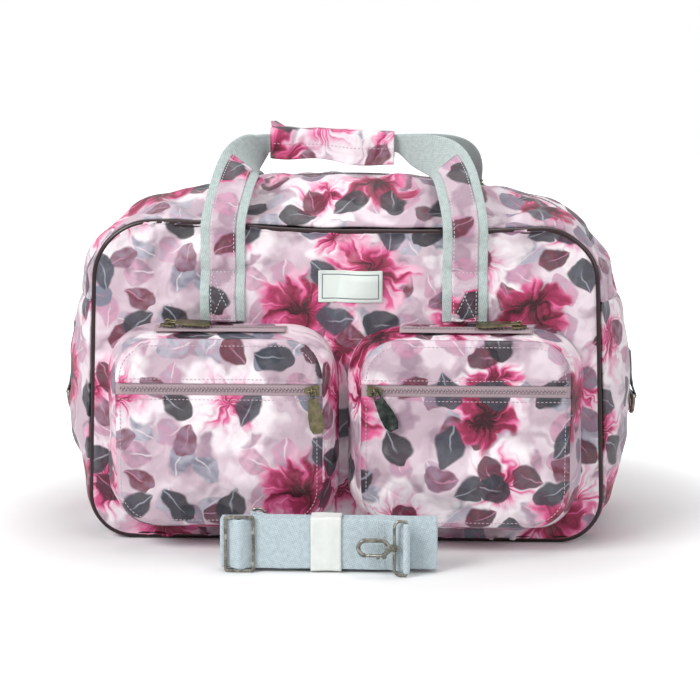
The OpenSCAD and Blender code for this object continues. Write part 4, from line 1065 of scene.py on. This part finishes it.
class HOLDALL_OT_handles(Operator):
    """Makes two webbing handles with a printed strip sewn down the middle of each leg."""
    bl_idname = "holdall.handles"
    bl_label = "Handles"

    def execute(self, context):
        m = shape()
        seam, box, tall = 9.9, 17, 42
        crosses = (((-box, 0), (box, 0)), ((-box, tall), (box, tall)), ((-seam, 0), (seam, tall)),
                   ((-seam, tall), (seam, 0)))
        for word, flip in (("front", 1), ("back", -1)):
            path, wide, face, share = handle_route(m, word)
            face = face * np.where(face[:1, 1:2] > 0, -1, 1)
            mirror = (1, flip, 1)
            band = ribbon(path, wide, face, m.webbing * share, 2.0 / np.maximum(share, 0.5))
            band = outward(band * mirror, path * mirror)
            name = word + "_handle"
            surface(name + "_webbing", band, "handle", "handle_webbing", (name,),
                    uv=ribbon_uv(path, m.webbing), tube=True, levels=1)
            n = len(path)
            last = int(n * 0.268)
            strips, lines = [], []
            for span in (slice(0, last), slice(n - last, n)):
                p = path[span] + face[span] * 1.55
                strip = ribbon(p, wide[span], face[span], m.trim_w * share[span], 0.9)
                strips.append(outward(strip * mirror, p * mirror))
                for edge in (-seam, seam):
                    across = wide[span] * (edge * share[span])[:, None]
                    lines.append((p + face[span] * 0.45 + across) * mirror)
                leg = path[span][path[span][:, 2] < m.leg_sewn + 3]
                leg = leg[np.argsort(leg[:, 2])]
                for start, end in crosses:
                    cross = np.linspace(start, end, 24) + (leg[0, 0], m.leg_low + 1.5)
                    proud = np.where(np.abs(cross[:, 0] - leg[0, 0]) < 11.4, 2.1, 1.1)
                    lines.append(stack(cross[:, 0], np.interp(cross[:, 1], leg[:, 2], leg[:, 1]) - proud,
                                       cross[:, 1]) * mirror)
            flat = ribbon_uv(path[:last] + face[:last] * 1.55, m.trim_w) + (120 if flip == 1 else 900, 300)
            surface(name + "_trim_cloth", np.stack(strips), "print", "printed_cloth", (name + "_trim",),
                    uv=flat, tube=True)
            topstitch(name + "_stitching", lines, (0, -flip, 0.05), "grey thread", "handle_webbing",
                      m.stitch, 0.34)
        return {"FINISHED"}


class HOLDALL_OT_wrap(Operator):
    """Rolls padded printed cloth round both handles, with its loose edge hanging in front."""
    bl_idname = "holdall.wrap"
    bl_label = "Handle wrap"

    def execute(self, context):
        m = shape()
        a, b, pitch, thick = 9.36, 10.2, 2.4, 1.9
        t = np.linspace(0, 1.3, 90)
        turn = np.pi / 2 - 2 * np.pi * t
        root = [flattened(w, 0.62) for w in (np.cos(turn), np.sin(turn))]
        roll = np.stack([-(a + pitch * t) * root[0], (b + pitch * t) * root[1]], -1)
        hang = np.linspace(0, 1, 10)[1:, None]
        tail = roll[-1] + np.concatenate([0.4 - 1.6 * hang ** 2, -9.5 * hang], 1)
        line = np.concatenate([roll, tail])
        ahead = tangents(line)
        side = np.stack([-ahead[:, 1], ahead[:, 0]], -1)
        far = lengths(line)
        x = np.linspace(m.wrap_x - m.wrap_half, m.wrap_x + m.wrap_half, 47)
        swell = ripple(x[:, None], far[None, :], 81, (64, 40, 25)) * (0.5 + 0.5 * far / far[-1])[None, :]
        lift = 0.9 * swell + 0.5 * np.cos(np.pi * (x[:, None] - m.wrap_x) / (2 * m.wrap_half))
        loose = smooth((far - far[-1] + 26) / 24)[None, :]
        droop = loose * 2.6 * ripple(x[:, None], 0 * far[None, :], 83, (90, 55))
        middle = line[None] - side[None] * lift[..., None] + np.stack([0 * droop, droop], -1)
        skins = [middle + side[None] * thick / 2, (middle - side[None] * thick / 2)[:, ::-1]]
        ring = np.concatenate(skins, 1)
        high = m.grip_z - m.wrap_tilt * (x[:, None] - m.wrap_x)
        grid = stack(x[:, None], ring[..., 0], high + ring[..., 1])
        both = np.concatenate([far, far[::-1], far[:1]])
        flat = pattern(both[None, :] + 40, x[:, None] + 520)
        wrap = surface("handle_wrap_cloth", outward(grid, stack(x, 0, m.grip_z)), "print",
                       "printed_cloth", ("handle_wrap",), uv=flat, tube=True, levels=1)
        seam = len(roll) - 4
        outer = [(middle + k * side[None] * (thick / 2 + 0.1))[:, seam] for k in (-1, 1)]
        edge = min(outer, key=lambda skin: skin[0, 0])
        line = stack(x, edge[:, 0], high[:, 0] + edge[:, 1])[1:-1]
        topstitch("handle_wrap_stitching", [line], (0, -1, 0), "mauve thread", "printed_cloth",
                  m.stitch, 0.32)
        u, v = np.linspace(0, 1, 9)[:, None], np.linspace(0, 1, 9)[None, :]
        point = stack(x[0] + 1 + 20 * v * (1 - 0.75 * u) - 2 * u, 2.6 + 2.2 * u + 0.8 * np.sin(3 * v),
                      m.grip_z + 11.6 + 9 * u + v * u)
        surface("handle_wrap_corner", point, "print", "printed_cloth", uv=plain_uv(point, 60, 470), levels=1,
                thickness=1.4)
        return {"FINISHED"}


class HOLDALL_OT_label(Operator):
    """Sews a bare woven label on the front panel."""
    bl_idname = "holdall.label"
    bl_label = "Label"

    def execute(self, context):
        m = shape()
        x = np.linspace(m.label_w / 2, -m.label_w / 2, 30)[None, :]
        z = np.linspace(-m.label_h / 2, m.label_h / 2, 16)[:, None]
        x, z = np.broadcast_arrays(x, z)
        surface("label_patch_weave", self.seated(m, x, z, 1.1), "label", "woven_label", ("label_patch",),
                uv=pattern(x, z), levels=1, thickness=0.9)
        inset = m.label_h / 2 - 1.2
        ring = closed(rounded_loop(m.label_w - 2.4, -inset, inset, 1.0, 3, 10))
        topstitch("label_stitching", [self.seated(m, ring[:, 0], ring[:, 1], 1.15)], (0, -1, 0),
                  "grey thread", "woven_label", 2.6, 0.26)
        return {"FINISHED"}

    def seated(self, m, x, z, proud):
        """Places on the label laid on the front panel, standing proud of it."""
        x, z = x + m.label_x, z + m.label_z
        return stack(x, np.minimum(read_grid("front", x, z), panel_y(m, x, z) + 1.0) - proud, z)


class HOLDALL_OT_ring_tabs(Operator):
    """Loops a tab of webbing round the bar of each end ring and sews it to the end of the bag."""
    bl_idname = "holdall.ring_tabs"
    bl_label = "Ring tabs"

    def execute(self, context):
        m = shape()
        bar_r, bar_z, bend, stitch_z = 2.2, 120.0, 3.2, (137.0, 158.0)
        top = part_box("right_ring_tab")[1][2] / MM
        bar = np.array([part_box("right_d_ring")[0][0] / MM + bar_r, bar_z])
        z = np.linspace(top, bar_z, 12)
        a = np.linspace(0.15, -np.pi - 0.15, 12)
        loop = bar + bend * circle(a)
        for word, side in (("right", 1), ("left", -1)):
            seat = np.interp(z, *SETTLED[word + "_end_panel"])
            inner = np.stack([seat + 0.9, z], -1)
            outer = np.stack([seat + 2.6 + 2.9 * smooth((bar_z + 22 - z) / 20), z], -1)
            line = through(np.concatenate([outer[:-2], loop, inner[::-1][2:]]), 3)
            path = stack(line[:, 0], 0, line[:, 1])
            wide = np.broadcast_to((0.0, 1.0, 0.0), path.shape)
            band = ribbon(path, wide, np.cross(wide, tangents(path)), m.tab_w, 1.3)
            mirror = (side, 1, 1)
            band = outward(band * mirror, path * mirror)
            surface(word + "_ring_tab_webbing", band, "handle", "handle_webbing", (word + "_ring_tab",),
                    uv=ribbon_uv(path, m.tab_w), tube=True)
            front = line[:30][::-1]
            across = np.linspace(-11, 11, 14)
            lines = [stack((np.interp(h, front[:, 1], front[:, 0]) + 0.75) * side, across, h)
                     for h in stitch_z]
            topstitch(word + "_ring_tab_stitching", lines, (side, 0, 0), "grey thread",
                      "handle_webbing", m.stitch, 0.34)
        return {"FINISHED"}


def strap_line(m):
    """Strap seen from above, in mm: round one hook's bar, out over the slide buckle, to and fro in seven
    runs, and round the other hook's bar as the first end turned half round."""
    left, right, bar_x, bar_y, bar_r, gap, half_t = -98.0, 82.0, 58.0, -227.0, 1.25, 0.3, 0.8
    y0, pitch, ring = m.strap_y, m.layer, bar_r + gap + half_t
    a = np.radians(np.linspace(-150, 90, 25))
    loop = np.array([bar_x, bar_y]) + ring * circle(a)
    t = np.linspace(0, 1, 17)[1:]
    away = np.stack([bar_x - 17 * t, bar_y + ring + (12 - ring) * smooth(t)], -1)
    i = np.linspace(-1, 1, 21)
    bump = np.stack([-83.4 - 10.5 * i, y0 - 5.3 * np.cos(np.pi / 2 * i) ** 2], -1)
    turns = []
    for k in range(6):
        a = np.radians(np.linspace(270, 90, 9) if k % 2 == 0 else np.linspace(-90, 90, 9))
        at = left if k % 2 == 0 else right
        turns.append(pitch / 2 * circle(a) + (at, y0 + (k + 0.5) * pitch))
    end = np.concatenate([loop, away])
    turned = np.array([left + right, 2 * (y0 + 3 * pitch)]) - end[::-1]
    return np.concatenate([end, bump, *turns, turned])


class HOLDALL_OT_strap(Operator):
    """Folds the shoulder strap to and fro in front of the bag, standing on edge, with a paper band round
    it."""
    bl_idname = "holdall.strap"
    bl_label = "Shoulder strap"

    def execute(self, context):
        m = shape()
        line = strap_line(m)
        far = lengths(line)
        at = np.unique(np.concatenate([far, np.arange(0, far[-1], 5.0)]))
        at = at[np.concatenate([[True], np.diff(at) > 0.12])]
        line = np.stack([np.interp(at, far, line[:, k]) for k in (0, 1)], -1)
        path = stack(line[:, 0], line[:, 1], m.strap_z)
        along = tangents(path)
        wide = np.broadcast_to((0.0, 0.0, 1.0), path.shape)
        face = np.cross(wide, along)
        band = ribbon(path, wide, face, m.strap_w, 1.55)
        edge = (band[..., 2] - m.strap_z) / (m.strap_w / 2)
        band[..., 2] += 0.35 * ripple(path[:, :1], 0 * path[:, :1], 91, (60, 35)) * edge
        strap = surface("shoulder_strap_webbing", outward(band, path), "strap", "strap_webbing",
                        ("shoulder_strap",), uv=ribbon_uv(path, m.strap_w), tube=True)
        stitch_x, upright = (39.0, 34.0), np.linspace(4.5, 44.5, 24)
        stitch = [stack(x, m.strap_y - 0.95, upright) for x in stitch_x]
        topstitch("shoulder_strap_stitching", stitch, (0, -1, 0), "grey thread", "strap_webbing", m.stitch,
                  0.36)
        half_y, half_z, band_left, band_right = 9.75, 22.75, -23, 3
        ring = rounded_loop(2 * half_y, -half_z, half_z, 1.6, 4, 16)
        x = np.linspace(band_left, band_right, 14)
        wave = 0.35 * ripple(x[:, None], lengths(closed(ring))[None, :-1], 95, (22, 13))
        out = unit(ring)
        grid = stack(x[:, None], m.strap_y + 3 * m.layer + ring[None, :, 0] + wave * out[None, :, 0],
                     np.maximum(m.strap_z + ring[None, :, 1] + wave * out[None, :, 1], 0.9))
        flat = plain_uv(np.concatenate([grid, grid[:, :1]], 1))
        surface("keeper_band_paper", grid, "paper", "white_band", ("keeper_band",), uv=flat,
                loop_columns=True, thickness=0.5)
        return {"FINISHED"}


class HOLDALL_OT_metal(Operator):
    """Gives the sliders, pulls, rings, hooks and buckle their antique finishes and soft edges."""
    bl_idname = "holdall.metal"
    bl_label = "Metal fittings"

    def execute(self, context):
        for name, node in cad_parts.items():
            if any(word in name for word in ("slider", "pull")):
                kind = "bronze" if name == "right_face_pull" else "brass"
            elif any(word in name for word in ("ring", "hook", "buckle")) and "tab" not in name:
                kind = "nickel"
            elif name == "base_board":
                kind = "board"
            else:
                continue
            node.data.materials.clear()
            node.data.materials.append(finish(kind))
            if kind != "board":
                weld = node.modifiers.new("weld", "WELD")
                weld.merge_threshold = 0.00001
                soft = node.modifiers.new("soft edge", "BEVEL")
                soft.width, soft.segments, soft.limit_method = 0.00028, 2, "ANGLE"
                soft.angle_limit = math.radians(35)
        return {"FINISHED"}


class HOLDALL_OT_stage(Operator):
    """Sets the camera, three soft lamps, a white surround and a pale floor."""
    bl_idname = "holdall.stage"
    bl_label = "Studio"

    def execute(self, context):
        scene = context.scene
        scene.view_settings.view_transform = "Standard"
        lens = bpy.data.cameras.new("camera")
        lens.lens, lens.sensor_width, lens.clip_end = 89.3, 36.0, 50.0
        camera = placed("camera", lens)
        turn, lift, far = math.radians(2.7), math.radians(8.0), 1.555
        target = Vector((0.0051, -0.105, 0.1747))
        back = Vector((math.sin(turn) * math.cos(lift), -math.cos(turn) * math.cos(lift), math.sin(lift)))
        camera.location = target + back * far
        camera.rotation_euler = (-back).to_track_quat("-Z", "Y").to_euler()
        scene.camera = camera
        middle = Vector((0, -0.05, 0.12))
        for name, place, size, power in (
                ("key", (-1.5, -1.5, 1.6), 1.2, 46.0), ("fill", (1.6, -1.5, 1.0), 1.6, 13.0),
                ("top", (0.3, 0.2, 2.2), 1.4, 15.0)):
            lamp = bpy.data.lights.new(name, "AREA")
            lamp.size, lamp.energy = size, power
            holder = placed(name, lamp)
            holder.location = place
            holder.rotation_euler = (middle - Vector(place)).to_track_quat("-Z", "Y").to_euler()
        self.surround(scene)
        self.floor()
        return {"FINISHED"}

    def surround(self, scene):
        """White to the camera, and in gloss and glass; a soft even light to the rest."""
        world = bpy.data.worlds.new("white surround")
        world.use_nodes = True
        node = partial(add, world.node_tree)
        path = node("LightPath").node.outputs
        seen = node("Math MAXIMUM", path["Is Camera Ray"], path["Is Transmission Ray"])
        seen = node("Math MAXIMUM", seen, path["Is Glossy Ray"])
        strength = node("MapRange", {0: seen, 3: 0.32, 4: 1.0})
        shade = world.node_tree.nodes["Background"]
        shade.inputs["Color"].default_value = (1, 1, 1, 1)
        feed(shade, Strength=strength)
        scene.world = world

    def floor(self):
        """Pale paper that keeps the shadow near the bag and fades to white farther off, where the camera sees
        it."""
        made, node, shader = finish_of("Studio paper, white", Base_Color=(*linear("#F4F4F4"), 1),
                                       Roughness=0.9, Specular_IOR_Level=0.1, Emission_Color=(1, 1, 1, 1))
        seen = node("LightPath").node.outputs["Is Camera Ray"]
        far = node("VectorMath LENGTH", node("TexCoord").node.outputs["Object"])
        glow = node("MapRange", {0: far, 1: 0.26, 2: 0.62}, interpolation_type="SMOOTHSTEP")
        glow = node("Math MULTIPLY", seen, glow)
        feed(shader, Emission_Strength=glow)
        # the paper's own glow lights nothing, so it is kept out of the sampling of lamps
        made.cycles.emission_sampling = "NONE"
        reach = np.linspace(-12, 12, 9)
        points = stack(reach[:, None], reach[None, :], -0.0004)
        mesh = bpy.data.meshes.new("floor")
        mesh.from_pydata(points.reshape(-1, 3).tolist(), [], quads(*points.shape[:2]))
        mesh.materials.append(made)
        floor = placed("floor", mesh)


class HOLDALL_PT_panel(Panel):
    """Lists the steps that dress the holdall."""
    bl_label = "Holdall"
    bl_idname = "HOLDALL_PT_panel"
    bl_space_type = "VIEW_3D"
    bl_region_type = "UI"
    bl_category = "Holdall"

    def draw(self, context):
        for step in STEPS:
            self.layout.operator(step.bl_idname)


STEPS = (HOLDALL_OT_stage, HOLDALL_OT_body, HOLDALL_OT_piping, HOLDALL_OT_pockets, HOLDALL_OT_zips,
         HOLDALL_OT_handles, HOLDALL_OT_wrap, HOLDALL_OT_label, HOLDALL_OT_ring_tabs, HOLDALL_OT_strap,
         HOLDALL_OT_metal)
CLASSES = (HoldallSizes, HoldallColours, *STEPS, HOLDALL_PT_panel)


def register():
    """Adds the classes and the sizes and colours kept with the scene."""
    for item in CLASSES:
        bpy.utils.register_class(item)
    bpy.types.Scene.holdall_sizes = PointerProperty(type=HoldallSizes)
    bpy.types.Scene.holdall_colours = PointerProperty(type=HoldallColours)


def unregister():
    """Removes what register added."""
    del bpy.types.Scene.holdall_sizes
    del bpy.types.Scene.holdall_colours
    for item in reversed(CLASSES):
        bpy.utils.unregister_class(item)


def main():
    """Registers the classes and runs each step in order."""
    register()
    bpy.ops.holdall.stage()
    bpy.ops.holdall.body()
    bpy.ops.holdall.piping()
    bpy.ops.holdall.pockets()
    bpy.ops.holdall.zips()
    bpy.ops.holdall.handles()
    bpy.ops.holdall.wrap()
    bpy.ops.holdall.label()
    bpy.ops.holdall.ring_tabs()
    bpy.ops.holdall.strap()
    bpy.ops.holdall.metal()


if __name__ == "__main__":
    main()
